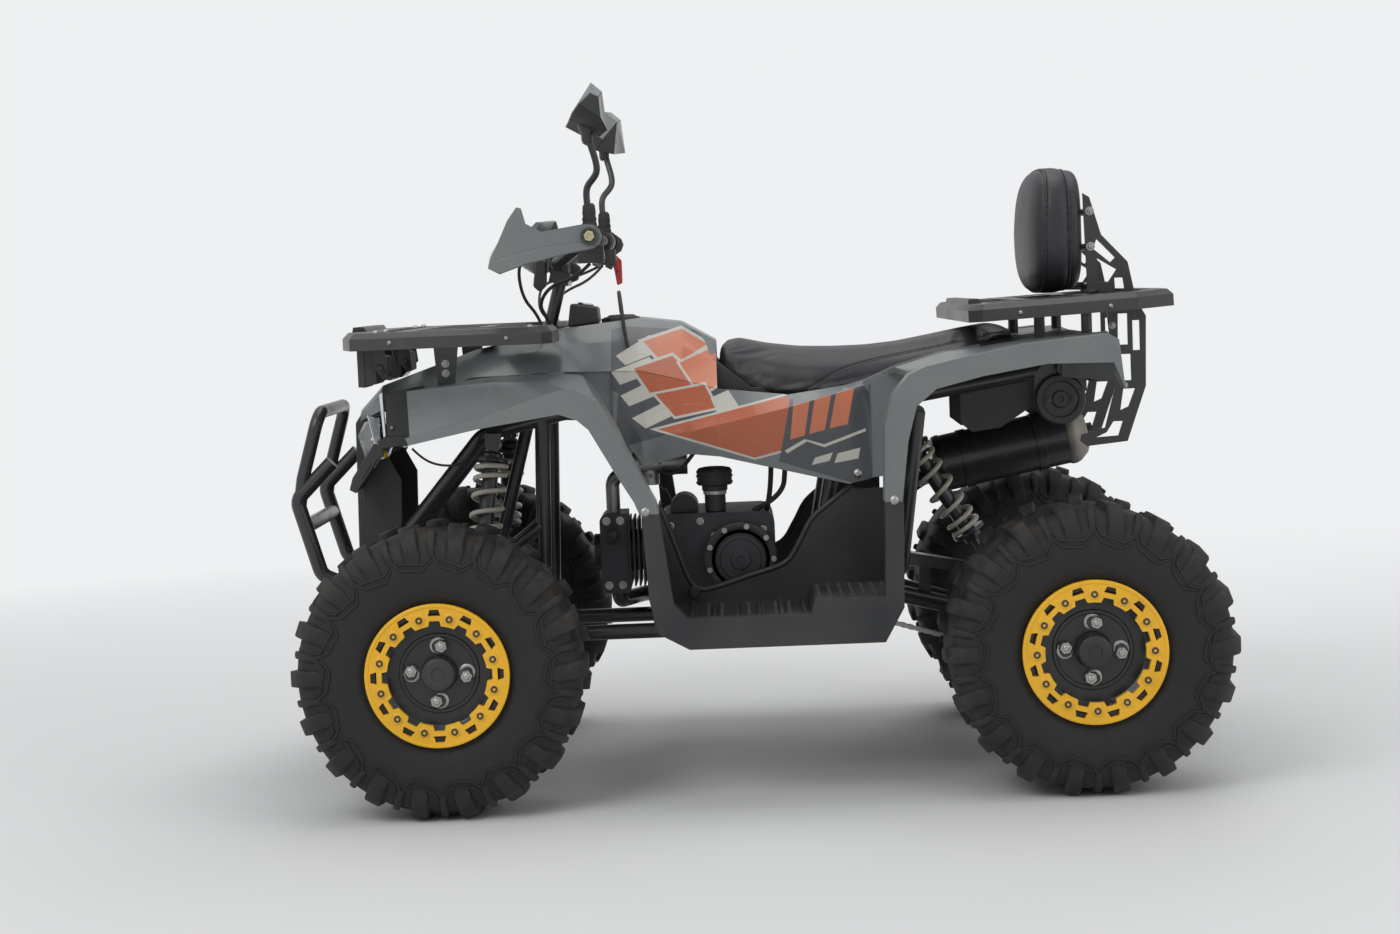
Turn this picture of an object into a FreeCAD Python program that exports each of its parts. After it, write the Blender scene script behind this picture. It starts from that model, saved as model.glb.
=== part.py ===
import FreeCAD, Part
import math
import os

import Sketcher
from FreeCAD import Vector

# Quad bike. X runs to the rear, Y to the rider's right, Z up from the ground. Lengths are in millimetres.

doc = FreeCAD.newDocument("QuadBike")
sheet = doc.addObject("Spreadsheet::Sheet", "Sizes")

# Name, value, what it is
SIZES = [
    ("wheelbase", 1030, "front axle to rear axle"),
    ("front_axle_x", -493, "front axle from the origin"),
    ("front_wheel_y", 375, "centre plane of a front wheel"),
    ("rear_wheel_y", 347, "centre plane of a rear wheel"),
    ("front_tyre_radius", 235, "to the tops of the lugs"),
    ("front_tyre_width", 178, ""),
    ("rear_tyre_radius", 232, "to the tops of the lugs"),
    ("rear_tyre_width", 235, ""),
    ("lug_height", 11, ""),
    ("lug_pitches", 18, "lugs round one shoulder"),
    ("lug_thickness", 32, "along the tread"),
    ("bead_inset", 18, "from the tyre's widest plane to the bead"),
    ("bead_radius", 103, "where the tyre sits on the rim"),
    ("flange_radius", 112, ""),
    ("flange_thickness", 5, ""),
    ("rim_wall", 5, ""),
    ("rim_dish", 24, "lip to the face of the wheel disc"),
    ("rim_disc_thickness", 8, ""),
    ("fit_gap", 0.3, "between pieces that seat on each other"),
    ("ring_radius", 114, "beadlock ring"),
    ("ring_bore_radius", 79, ""),
    ("ring_thickness", 8, ""),
    ("ring_bolts", 12, ""),
    ("wheel_bolt_circle_radius", 44, ""),
    ("hub_radius", 27, ""),
    ("hub_flange_radius", 60, ""),
    ("spindle_radius", 9, ""),
    ("spindle_nut_radius", 16, ""),
    ("brake_disc_radius", 78, ""),
    ("kingpin_y", 280, ""),
    ("kingpin_radius", 15, ""),
    ("kingpin_half_height", 59, "axle to the end of the knuckle's post"),
    ("ball_stud_radius", 7, ""),
    ("ball_housing_height", 18, ""),
    ("ball_stud_length", 12, "bare stud between the post and the housing"),
    ("arm_tube_radius", 10, "wishbone tube"),
    ("arm_spread", 95, "axle to a wishbone's inner pivot, along the bike"),
    ("arm_pivot_y", 138, ""),
    ("arm_low_pivot_z", 255, ""),
    ("arm_high_pivot_z", 372, ""),
    ("pivot_pin_radius", 6, ""),
    ("steer_arm", 42, "lever length on the knuckles and on the column"),
    ("rail_y", 105, "centre of the frame's side tubes"),
    ("frame_tube_radius", 13, ""),
    ("lower_rail_z", 243, ""),
    ("bumper_tube_radius", 12.5, ""),
    ("bumper_y", 140, ""),
    ("bar_tube_radius", 11, ""),
    ("bar_half_width", 370, ""),
    ("bar_z", 912, ""),
    ("bar_x", -228, ""),
    ("grip_radius", 17, ""),
    ("grip_length", 121, ""),
    ("column_low_x", -455, ""),
    ("column_low_z", 300, ""),
    ("column_high_x", -303, ""),
    ("column_high_z", 848, ""),
    ("column_radius", 11, ""),
    ("axle_radius", 16, "rear axle"),
    ("sprocket_radius", 75, ""),
    ("sprocket_y", 62, ""),
    ("sprocket_thickness", 7, ""),
    ("rear_disc_radius", 88, ""),
    ("swing_pivot_x", 205, ""),
    ("swing_pivot_z", 300, ""),
    ("carrier_radius", 38, "bearing carrier on the swingarm"),
    ("carrier_half_length", 48, ""),
    ("chain_width", 12, ""),
    ("chain_height", 9, ""),
    ("drive_sprocket_radius", 30, ""),
    ("drive_sprocket_x", 95, ""),
    ("drive_sprocket_z", 318, ""),
    ("panel_wall", 4, "plastic bodywork"),
    ("fender_outer_y", 440, ""),
    ("fender_band_width", 48, ""),
    ("footwell_inner_y", 158, ""),
    ("footwell_wall", 6, ""),
    ("front_rack_z", 745, "underside"),
    ("rear_rack_z", 750, "underside"),
    ("rack_thickness", 28, ""),
    ("rack_half_width", 330, ""),
    ("rack_bevel", 9, ""),
    ("backrest_half_width", 150, ""),
    ("bracket_y", 142, "inner face of a backrest plate"),
    ("bracket_thickness", 5, ""),
    ("muffler_radius", 50, ""),
    ("muffler_length", 240, ""),
    ("muffler_y", 85, ""),
    ("exhaust_pipe_radius", 14, ""),
    ("damper_radius", 13, ""),
    ("coil_radius", 25, "centre of the wire"),
    ("coil_wire_radius", 4, ""),
    ("coil_turns", 5, ""),
    ("fuel_cap_radius", 26, ""),
]

for row, (name, value, note) in enumerate(SIZES, 1):
    sheet.set("A%d" % row, name)
    sheet.set("B%d" % row, str(value))
    sheet.set("C%d" % row, note)
    sheet.setAlias("B%d" % row, name)
doc.recompute()


class Term:
    """A length with its value and the sheet expression that gives it."""

    def __init__(self, value, text):
        self.value = float(value)
        self.text = text

    def __float__(self):
        return self.value

    def __add__(self, other):
        other = term(other)
        return Term(self.value + other.value, "(%s + %s)" % (self.text, other.text))

    def __radd__(self, other):
        return term(other) + self

    def __sub__(self, other):
        other = term(other)
        return Term(self.value - other.value, "(%s - %s)" % (self.text, other.text))

    def __rsub__(self, other):
        return term(other) - self

    def __mul__(self, other):
        other = term(other)
        return Term(self.value * other.value, "(%s * %s)" % (self.text, other.text))

    def __rmul__(self, other):
        return term(other) * self

    def __truediv__(self, other):
        other = term(other)
        return Term(self.value / other.value, "(%s / %s)" % (self.text, other.text))

    def __neg__(self):
        return Term(-self.value, "(0 - %s)" % self.text)


def term(value):
    if isinstance(value, Term):
        return value
    return Term(value, repr(float(value)))


def size(name):
    return Term(sheet.get(name), "Sizes." + name)


gap = size("fit_gap")
front_x = size("front_axle_x")
rear_x = front_x + size("wheelbase")
front_z = size("front_tyre_radius")
rear_z = size("rear_tyre_radius")
DRAWN_FRONT, DRAWN_REAR = -493, 537
FRONT_ZONE_END, REAR_ZONE_START = -143, 175


def at(x):
    """A drawn station along the bike. The ends move with their axles and the middle stretches."""
    share = (x - FRONT_ZONE_END) / (REAR_ZONE_START - FRONT_ZONE_END)
    share = min(max(share, 0), 1)
    if share == 0:
        return front_x + (x - DRAWN_FRONT)
    if share == 1:
        return rear_x + (x - DRAWN_REAR)
    return front_x + (x - DRAWN_FRONT) + (size("wheelbase") - (DRAWN_REAR - DRAWN_FRONT)) * share


def along(points):
    return [(at(x), z) for x, z in points]


parts = {}


def keep(label, thing):
    thing.Label = label
    parts[label] = thing
    return thing


def set_size(thing, prop, value):
    """Tie a property to the sheet where its size comes from there."""
    value = term(value)
    if "Sizes." in value.text or "." in prop:
        thing.setExpression(prop, value.text)
    else:
        setattr(thing, prop, value.value)


def place_sketch(body, name, role, offset):
    sketch = body.newObject("Sketcher::SketchObject", name)
    plane = [f for f in body.Origin.OriginFeatures if f.Role == role][0]
    sketch.AttachmentSupport = [(plane, "")]
    sketch.MapMode = "FlatFace"
    if term(offset).value:
        set_size(sketch, "AttachmentOffset.Base.z", offset)
    return sketch


def pin_point(sketch, geometry, vertex, kind, value):
    value = term(value)
    if "Sizes." not in value.text and value.value == 0:
        axis = -2 if kind == "DistanceX" else -1
        sketch.addConstraint(Sketcher.Constraint("PointOnObject", geometry, vertex, axis))
        return
    number = sketch.addConstraint(Sketcher.Constraint(kind, -1, 1, geometry, vertex, value.value))
    if "Sizes." in value.text:
        sketch.setExpression("Constraints[%d]" % number, value.text)


def add_outline(sketch, points):
    """A closed outline of straight runs, each corner placed from the origin."""
    first = sketch.GeometryCount
    spots = [Vector(float(term(a)), float(term(b)), 0) for a, b in points]
    count = len(spots)
    for i in range(count):
        sketch.addGeometry(Part.LineSegment(spots[i], spots[(i + 1) % count]), False)
    for i in range(count):
        sketch.addConstraint(Sketcher.Constraint("Coincident", first + i, 2, first + (i + 1) % count, 1))
    for i, (a, b) in enumerate(points):
        pin_point(sketch, first + i, 1, "DistanceX", a)
        pin_point(sketch, first + i, 1, "DistanceY", b)


def add_circle(sketch, a, b, radius):
    radius, a, b = term(radius), term(a), term(b)
    index = sketch.addGeometry(Part.Circle(Vector(a.value, b.value, 0), Vector(0, 0, 1), radius.value), False)
    pin_point(sketch, index, 3, "DistanceX", a)
    pin_point(sketch, index, 3, "DistanceY", b)
    number = sketch.addConstraint(Sketcher.Constraint("Radius", index, radius.value))
    if "Sizes." in radius.text:
        sketch.setExpression("Constraints[%d]" % number, radius.text)


def outline(body, name, role, points, offset=0):
    sketch = place_sketch(body, name, role, offset)
    add_outline(sketch, points)
    return sketch


def circle(body, name, role, a, b, radius, offset=0):
    sketch = place_sketch(body, name, role, offset)
    add_circle(sketch, a, b, radius)
    return sketch


def pad(body, sketch, length):
    """Pad along the sketch's normal, which on the XZ plane points to -Y."""
    feature = body.newObject("PartDesign::Pad", sketch.Name + "_pad")
    feature.Profile = sketch
    set_size(feature, "Length", length)
    return feature


def pocket(body, sketch):
    """Cut right through, both ways from the sketch."""
    feature = body.newObject("PartDesign::Pocket", sketch.Name + "_pocket")
    feature.Profile = sketch
    feature.Type = 1
    feature.Midplane = True
    return feature


def loft(body, sketches):
    feature = body.newObject("PartDesign::AdditiveLoft", sketches[0].Name + "_loft")
    feature.Profile = sketches[0]
    feature.Sections = list(sketches[1:])
    feature.Ruled = True
    return feature


def turn(body, sketch, axis):
    feature = body.newObject("PartDesign::Revolution", sketch.Name + "_turned")
    feature.Profile = sketch
    feature.ReferenceAxis = (sketch, [axis])
    feature.Angle = 360
    return feature


def ring_of(body, feature, sketch, count):
    """Repeat a feature round the normal of its sketch."""
    pattern = body.newObject("PartDesign::PolarPattern", feature.Name + "_round")
    pattern.Originals = [feature]
    pattern.Axis = (sketch, ["N_Axis"])
    pattern.Angle = 360
    pattern.Occurrences = int(float(term(count)))
    if "Sizes." in term(count).text:
        pattern.setExpression("Occurrences", term(count).text)
    body.Tip = pattern
    return pattern


def new_body(label):
    return keep(label, doc.addObject("PartDesign::Body", label))


def move_to(thing, x, y, z):
    for axis, value in (("x", x), ("y", y), ("z", z)):
        set_size(thing, "Placement.Base." + axis, value)


def mirrored(label, source):
    """The same piece on the rider's right."""
    twin = doc.addObject("Part::Mirroring", label)
    twin.Source = source
    twin.Base = Vector(0, 0, 0)
    twin.Normal = Vector(0, 1, 0)
    return keep(label, twin)


def pair(label, source):
    """A piece and its mirror image in one node, apart from each other on one body."""
    parts.pop(source.Label, None)
    twin = mirrored(label + "_twin", source)
    parts.pop(twin.Label, None)
    both = doc.addObject("Part::Compound", label)
    both.Links = [source, twin]
    return keep(label, both)


def feature(label, shape):
    thing = doc.addObject("Part::Feature", label)
    thing.Shape = shape
    return keep(label, thing)


def vec(x, y, z):
    return Vector(float(term(x)), float(term(y)), float(term(z)))


def rod(start, end, radius):
    start, end = vec(*start), vec(*end)
    return Part.makeCylinder(float(term(radius)), (end - start).Length, start, end - start)


def across(x, z, y0, y1, radius):
    """A round bar along Y."""
    return rod((x, y0, z), (x, y1, z), radius)


def block(x0, x1, y0, y1, z0, z1):
    low, high = vec(x0, y0, z0), vec(x1, y1, z1)
    return Part.makeBox(high.x - low.x, high.y - low.y, high.z - low.z, low)


def fused(solids):
    whole = solids[0].multiFuse(solids[1:]) if len(solids) > 1 else solids[0]
    cleaned = whole.removeSplitter()
    if cleaned.isValid():
        whole = cleaned
    return whole.Solids[0] if len(whole.Solids) == 1 else whole


def bent_tube(points, radius, bend):
    """A round tube along straight runs joined by tangent arcs."""
    spots = [vec(*p) for p in points]
    edges, start = [], spots[0]
    for before, here, after in zip(spots, spots[1:], spots[2:]):
        into, out = (here - before).normalize(), (after - here).normalize()
        bend_angle = into.getAngle(out)
        if bend_angle < 0.02:
            continue
        reach = float(bend) * math.tan(bend_angle / 2)
        first, last = here - into * reach, here + out * reach
        inward = (out - into).normalize()
        middle = here + inward * (float(bend) * (1 / math.cos(bend_angle / 2) - 1))
        edges.append(Part.LineSegment(start, first).toShape())
        edges.append(Part.Arc(first, middle, last).toShape())
        start = last
    edges.append(Part.LineSegment(start, spots[-1]).toShape())
    section = Part.Circle(spots[0], spots[1] - spots[0], float(term(radius))).toShape()
    solid = Part.Wire(edges).makePipeShell([Part.Wire([section])], True, False)
    if solid.Volume < 0:
        solid.reverse()
    return solid


def both_sides(points):
    return [points, [(x, -term(y), z) for x, y, z in points]]


def plate(points, y0, thickness):
    """A flat plate from its outline in the XZ plane, from y0 towards +Y."""
    spots = [vec(x, y0, z) for x, z in points]
    return Part.Face(Part.makePolygon(spots + [spots[0]])).extrude(Vector(0, float(term(thickness)), 0))


def slab(points, z0, thickness):
    """A flat plate from its outline in the XY plane, from z0 upwards."""
    spots = [vec(x, y, z0) for x, y in points]
    return Part.Face(Part.makePolygon(spots + [spots[0]])).extrude(Vector(0, 0, float(term(thickness))))


def bevel_top(solid, depth):
    top = max(e.CenterOfMass.z for e in solid.Edges)
    rim = [e for e in solid.Edges if abs(e.CenterOfMass.z - top) < 0.01]
    return solid.makeChamfer(float(term(depth)), rim)


# Tyres: a carcass of flat facets, with staggered lugs over both shoulders


def facet_ring(profile, sides):
    """A ring about the Y axis from (y, radius) corners, flat between radial planes."""
    rows = []
    for i in range(sides):
        angle = 2 * math.pi * (i + 0.5) / sides
        rows.append([Vector(r * math.sin(angle), y, -r * math.cos(angle)) for y, r in profile])
    faces = []
    for here, after in zip(rows, rows[1:] + rows[:1]):
        for j in range(len(profile)):
            k = (j + 1) % len(profile)
            corners = [here[j], here[k], after[k], after[j]]
            faces.append(Part.Face(Part.makePolygon(corners + [corners[0]])))
    solid = Part.Solid(Part.Shell(faces))
    if solid.Volume < 0:
        solid.reverse()
    return solid


def tyre(radius, width, lug_reach):
    radius, half = float(radius), float(width) / 2
    pitches = int(float(size("lug_pitches")))
    sides = 2 * pitches
    flat = math.cos(math.pi / sides)
    bead_y = half - float(size("bead_inset"))
    tread = radius - float(size("lug_height"))
    bead, flange = float(size("bead_radius")) / flat, float(size("flange_radius")) + 3
    side = [(bead_y, bead), (bead_y, flange), (half - 1, radius - 60), (half - 22, tread)]
    carcass = facet_ring(side + [(-y, r) for y, r in reversed(side)], sides)
    # Lug outline in the plane of the axle: over the tread, down the shoulder and back into the carcass
    lug = [(half - lug_reach, tread - 4), (half - lug_reach, radius), (half - 28, radius), (half - 0.5, radius - 30),
           (half - 14, radius - 52)]
    thick = float(size("lug_thickness"))
    lugs = []
    for side_sign, offset in ((-1, 0), (1, 0.5)):
        spots = [Vector(-thick / 2, side_sign * y, -r) for y, r in lug]
        solid = Part.Face(Part.makePolygon(spots + [spots[0]])).extrude(Vector(thick, 0, 0))
        for i in range(pitches):
            copy = solid.copy()
            copy.rotate(Vector(0, 0, 0), Vector(0, 1, 0), 360 * (i + offset) / pitches)
            lugs.append(copy)
    return carcass.multiFuse(lugs)


WHEELS = [
    # end, axle x, centre y, tyre radius, tyre width, how far a lug reaches in from the tyre's side
    ("front", front_x, size("front_wheel_y"), size("front_tyre_radius"), size("front_tyre_width"), 78),
    ("rear", rear_x, size("rear_wheel_y"), size("rear_tyre_radius"), size("rear_tyre_width"), 104),
]
for end, x, y, radius, width, lug_reach in WHEELS:
    shape = tyre(radius, width, lug_reach)
    shape.translate(vec(x, -y, radius))
    near = feature("tyre_%s_left" % end, shape)
    mirrored("tyre_%s_right" % end, near)


def lip_of(width):
    """Outer face of the rim's flange, from the wheel's centre plane."""
    return width / 2 - size("bead_inset") + gap + size("flange_thickness")


def disc_face_of(y, width):
    """Where the hub's flange meets the wheel disc, from the bike's middle."""
    return y + lip_of(width) - size("rim_dish") - size("rim_disc_thickness")


# Rims: a flanged barrel and a disc turned about the axle, with nuts on the disc. The sketch's Y is the wheel's
# axis and points to the bike's middle.
for end, x, y, radius, width, lug_reach in WHEELS:
    body = new_body("rim_%s_left" % end)
    seat = size("bead_radius") - gap
    flange, wall = size("flange_radius"), size("rim_wall")
    lip = lip_of(width)
    edge = lip - size("flange_thickness")
    face = lip - size("rim_dish")
    back = face - size("rim_disc_thickness")
    bore = (size("spindle_radius") if end == "front" else size("axle_radius")) + gap
    profile = [
        (flange, -lip), (flange, -edge), (seat, -edge), (seat, edge), (flange, edge), (flange, lip),
        (seat - wall, lip), (seat - wall, -(back - 10)), (seat - wall - 10, -back), (bore, -back), (bore, -face),
        (seat - wall - 14, -face), (seat - wall, -(face + 12)), (seat - wall, -lip),
    ]
    turn(body, outline(body, body.Name + "_profile", "XY_Plane", profile), "V_Axis")
    nut = circle(body, body.Name + "_nut", "XZ_Plane", 0, size("wheel_bolt_circle_radius"), 9, face)
    ring_of(body, pad(body, nut, 11), nut, 4)
    move_to(body, x, -y, radius)
    mirrored("rim_%s_right" % end, body)

    # Beadlock ring: bolt bosses on the inside, a window between each two bosses
    ring = new_body("bead_ring_%s_left" % end)
    outer = circle(ring, ring.Name + "_outer", "XZ_Plane", 0, 0, size("ring_radius"))
    add_circle(outer, 0, 0, size("ring_bore_radius"))
    pad(ring, outer, size("ring_thickness"))
    bore, rim = size("ring_bore_radius"), size("ring_radius")
    cuts = place_sketch(ring, ring.Name + "_cuts", "XZ_Plane", 0)
    add_outline(cuts, [(-11, bore - 4), (11, bore - 4), (8, bore + 8), (-8, bore + 8)])
    add_outline(cuts, [(-10, rim - 19), (10, rim - 19), (7, rim - 9), (-7, rim - 9)])
    ring_of(ring, pocket(ring, cuts), cuts, size("ring_bolts"))
    bolt = circle(ring, ring.Name + "_bolt", "XZ_Plane", 23.8, rim - 25.2, 5, size("ring_thickness"))
    ring_of(ring, pad(ring, bolt, 3), bolt, size("ring_bolts"))
    move_to(ring, x, -(y + lip + gap), radius)
    if end == "rear":
        ring.Placement.Rotation = FreeCAD.Rotation(Vector(0, 1, 0), 15)
    mirrored("bead_ring_%s_right" % end, ring)

# Front hubs with brake discs
king_y = size("kingpin_y")
front_y = size("front_wheel_y")
spindle = size("spindle_radius")
hub_face = disc_face_of(front_y, size("front_tyre_width"))


def front_hub():
    inner = king_y + 22
    solids = [
        across(front_x, front_z, -inner, -(hub_face - 6), size("hub_radius")),
        across(front_x, front_z, -(hub_face - 6), -(hub_face - gap), size("hub_flange_radius")),
        across(front_x, front_z, -(inner + 8), -(inner + 12), size("brake_disc_radius")),
    ]
    return fused(solids).cut(across(front_x, front_z, -(inner - 5), -(hub_face + 5), spindle + gap))


near = feature("hub_front_left", front_hub())
mirrored("hub_front_right", near)

# Knuckles: a post with ball studs, the spindle with its nut, and the steering lever
post = size("kingpin_half_height")
housing = size("ball_housing_height")
stud = size("ball_stud_length")
wheel_outer = front_y + lip_of(size("front_tyre_width")) - size("rim_dish")


def knuckle():
    reach = float(size("steer_arm"))
    lever = Part.makeBox(math.hypot(reach, 18), 14, 12, Vector(0, -7, 0))
    lever.rotate(Vector(0, 0, 0), Vector(0, 0, 1), -math.degrees(math.atan2(18, reach)))
    lever.translate(vec(front_x, -king_y, front_z + 26))
    tip = (front_x + size("steer_arm"), -(king_y + 18))
    stud_end = post + stud + housing + 7
    solids = [
        rod((front_x, -king_y, front_z - post), (front_x, -king_y, front_z + post), size("kingpin_radius")),
        rod((front_x, -king_y, front_z - stud_end), (front_x, -king_y, front_z + stud_end), size("ball_stud_radius")),
        across(front_x, front_z, -(king_y - 18), -(king_y + 17), 22),
        across(front_x, front_z, -(king_y + 10), -(wheel_outer + 16), spindle),
        across(front_x, front_z, -(wheel_outer + gap), -(wheel_outer + 11), size("spindle_nut_radius")),
        lever,
        rod(tip + (front_z + 24,), tip + (front_z + 41,), 10),
    ]
    return fused(solids)


near = feature("knuckle_left", knuckle())
mirrored("knuckle_right", near)

# Top eye, bottom eye, then how far down the coil begins and ends
FRONT_SHOCK = ((at(-418), -160, 575), (at(-443), -200, 373), 30, 165)
REAR_SHOCK = ((at(282), 0, 560), (at(420), 0, 330), 34, 206)

# Double wishbones
pivot_y = size("arm_pivot_y")


def wishbone(level, pivot_z):
    """level is -1 for the lower arm and 1 for the upper one."""
    inner = front_z + level * (post + stud)
    outer = inner + level * housing
    middle = inner + level * (housing / 2 + 3)
    solids = [rod((front_x, -king_y, inner), (front_x, -king_y, outer), 17)]
    for side in (-1, 1):
        x = front_x + side * size("arm_spread")
        solids.append(rod((x, -pivot_y, pivot_z), (front_x, -king_y, middle), size("arm_tube_radius")))
        solids.append(rod((x - 18, -pivot_y, pivot_z), (x + 18, -pivot_y, pivot_z), 15))
    if level > 0:
        x, y, z = FRONT_SHOCK[1]
        for ear in (-17.3, 13.3):
            solids.append(block(x - 10, x + 10, y + ear, y + ear + 4, z - 26, z + 10))
        solids.append(across(x, z, y - 17, y + 17, size("pivot_pin_radius")))
        solids.append(block(x - 10, x + 10, y - 17.3, y + 17.3, z - 30, z - 20))
    whole = fused(solids)
    whole = whole.cut(rod((front_x, -king_y, inner - level * 20), (front_x, -king_y, outer + level * 20),
                          size("ball_stud_radius") + gap))
    for side in (-1, 1):
        x = front_x + side * size("arm_spread")
        whole = whole.cut(rod((x - 30, -pivot_y, pivot_z), (x + 30, -pivot_y, pivot_z), size("pivot_pin_radius") + gap))
    return whole.Solids[0]


arms = [wishbone(-1, size("arm_low_pivot_z")), wishbone(1, size("arm_high_pivot_z"))]
near = feature("wishbones_left", Part.makeCompound(arms))
pair("wishbones", near)

# Steering column with its lower lever and the crown that holds the bar
low = (size("column_low_x"), 0, size("column_low_z"))
high = (size("column_high_x"), 0, size("column_high_z"))
lean = vec(*high) - vec(*low)
lean.normalize()
lean_angle = math.degrees(math.atan2(lean.x, lean.z))
bar_tube = size("bar_tube_radius")
CLAMP_RISE = 26


def leaned(solid, foot):
    solid.rotate(Vector(0, 0, 0), Vector(0, 1, 0), lean_angle)
    solid.translate(foot)
    return solid


def steering_column():
    reach = float(size("steer_arm"))
    lever = leaned(Part.makeBox(reach + 14, 56, 8, Vector(-4, -28, -4)), vec(*low))
    pins = [leaned(Part.makeCylinder(5, 25, Vector(reach, y, -24)), vec(*low)) for y in (-18, 18)]
    top = CLAMP_RISE * lean.z - float(bar_tube) - float(gap)
    crown = leaned(Part.makeBox(34, 90, 8 + top, Vector(-17, -45, -8)), vec(*high))
    return fused([rod(low, high, size("column_radius")), lever, crown] + pins)


feature("steering_column", steering_column())


def tie_rod():
    reach = float(size("steer_arm"))
    inner = vec(*low) + Vector(reach * lean.z, -18, -reach * lean.x) - lean * 14
    outer = vec(front_x + size("steer_arm"), -(king_y + 18), front_z + 52)
    eye = Part.makeCylinder(11, 14, inner - lean * 7, lean)
    whole = fused([rod(tuple(inner), tuple(outer), 6), eye, Part.makeCylinder(11, 16, outer - Vector(0, 0, 8))])
    return whole.cut(Part.makeCylinder(5 + float(gap), 40, inner - lean * 20, lean))


near = feature("tie_rod_left", tie_rod())
mirrored("tie_rod_right", near)

# Handlebar and what it carries. Its outer runs rise inwards a little.
bar_x, bar_z, bar_end = size("bar_x"), size("bar_z"), size("bar_half_width")
high_x, high_z = size("column_high_x"), size("column_high_z")
BAR_RUN, BAR_BACK, BAR_RISE = 180, -10, 4


def on_bar(inset, side=-1):
    """A point on an outer run, inset from its end."""
    share = term(inset) / BAR_RUN
    return (bar_x + BAR_BACK * share, side * (bar_end - inset), bar_z + BAR_RISE * share)


bar_path = [on_bar(0), on_bar(BAR_RUN), (high_x, -80, high_z + CLAMP_RISE)]
feature("handlebar", bent_tube(bar_path + [(x, -term(y), z) for x, y, z in reversed(bar_path)], bar_tube, 50))
bar_bore = rod(on_bar(-30), on_bar(BAR_RUN - 20), bar_tube + 0.4)


def grip():
    length = size("grip_length")
    solids = [rod(on_bar(gap), on_bar(length - 11), size("grip_radius"))]
    solids.append(rod(on_bar(length - 17), on_bar(length - 11), 21))
    return fused(solids).cut(bar_bore)


near = feature("grip_left", grip())
pair("grips", near)

GUARD_SIDE = [(-390, 868), (-386, 880), (-356, 942), (-341, 962), (-334, 960), (-328, 936), (-304, 922), (-262, 928),
              (-240, 931), (-222, 930), (-212, 922), (-208, 911), (-213, 899), (-224, 892), (-262, 886), (-330, 872),
              (-372, 858)]
GUARD_FRONT = [(-390, 868), (-386, 880), (-356, 942), (-341, 962), (-334, 960), (-344, 938), (-376, 872), (-378, 862)]


def hand_guard():
    """A side plate bolted to the bar's end and a shield that sweeps in before the fingers."""
    y = -(bar_end + 18)
    side = plate(along(GUARD_SIDE), y, 7)
    near_edge = [vec(at(x), y, z) for x, z in GUARD_FRONT]
    far_edge = [vec(at(x) - 16, y + 196, z * 0.72 + 262) for x, z in GUARD_FRONT]
    wires = [Part.makePolygon(p + [p[0]]) for p in (near_edge, far_edge)]
    shield = Part.makeLoft(wires, True, True)
    end = [across(bar_x, bar_z, y - 5, -(bar_end + 1.5), size("grip_radius") - 2)]
    return fused([side, shield] + end)


near = feature("hand_guard_left", hand_guard())
pair("hand_guards", near)

# Mirrors: a clamp on the bar, a rubber foot, a bent stem and a faceted head
MIRROR_HEAD = [
    # y of the section, then x and z round the head
    (-224, [(-268, 1094), (-246, 1112), (-232, 1100), (-244, 1080)]),
    (-256, [(-262, 1098), (-226, 1150), (-206, 1132), (-214, 1074)]),
    (-330, [(-250, 1108), (-218, 1154), (-202, 1140), (-196, 1080)]),
    (-368, [(-236, 1120), (-218, 1136), (-206, 1130), (-204, 1098)]),
]


def mirror():
    foot = on_bar(135)
    clamp = rod(on_bar(121), on_bar(149), 18).cut(bar_bore)
    upright = rod((foot[0], foot[1], foot[2] + 15), (foot[0], foot[1], foot[2] + 48), 9)
    stem_path = [(foot[0], foot[1], foot[2] + 40), (foot[0] - 2, foot[1] - 4, foot[2] + 76),
                 (bar_x + 12, -256, 1030), (bar_x - 2, -270, 1110)]
    wires = []
    for y, spots in MIRROR_HEAD:
        points = [vec(at(x), y, z) for x, z in spots]
        wires.append(Part.makePolygon(points + [points[0]]))
    return fused([clamp, upright, bent_tube(stem_path, 5.5, 24), Part.makeLoft(wires, True, True)])


near = feature("mirror_left", mirror())
pair("mirrors", near)


def control():
    """Clamp, switch box and brake lever beside a mirror's clamp."""
    clamp = rod(on_bar(150.5), on_bar(165), 17)
    box = block(bar_x - 30, bar_x + 12, -219, -190, bar_z - 40, bar_z - 12)
    perch = rod((bar_x - 14, -208, bar_z + 2), (bar_x - 42, -212, bar_z - 3), 9)
    lever = bent_tube([(bar_x - 38, -204, bar_z - 4), (bar_x - 60, -232, bar_z - 6), (bar_x - 64, -340, bar_z - 8)], 5, 14)
    bore = rod(on_bar(140), on_bar(BAR_RUN), bar_tube + 0.4)
    return fused([clamp, box, perch, lever]).cut(bore)


near = feature("control_left", control())
pair("controls", near)
THROTTLE = [(-234, 890), (-220, 893), (-206, 880), (-206, 838), (-216, 834), (-221, 868), (-235, 880)]
feature("throttle_lever", plate([(term(x) - (-228) + bar_x, term(z) - 912 + bar_z) for x, z in THROTTLE], 219.3, 10.7))


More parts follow.
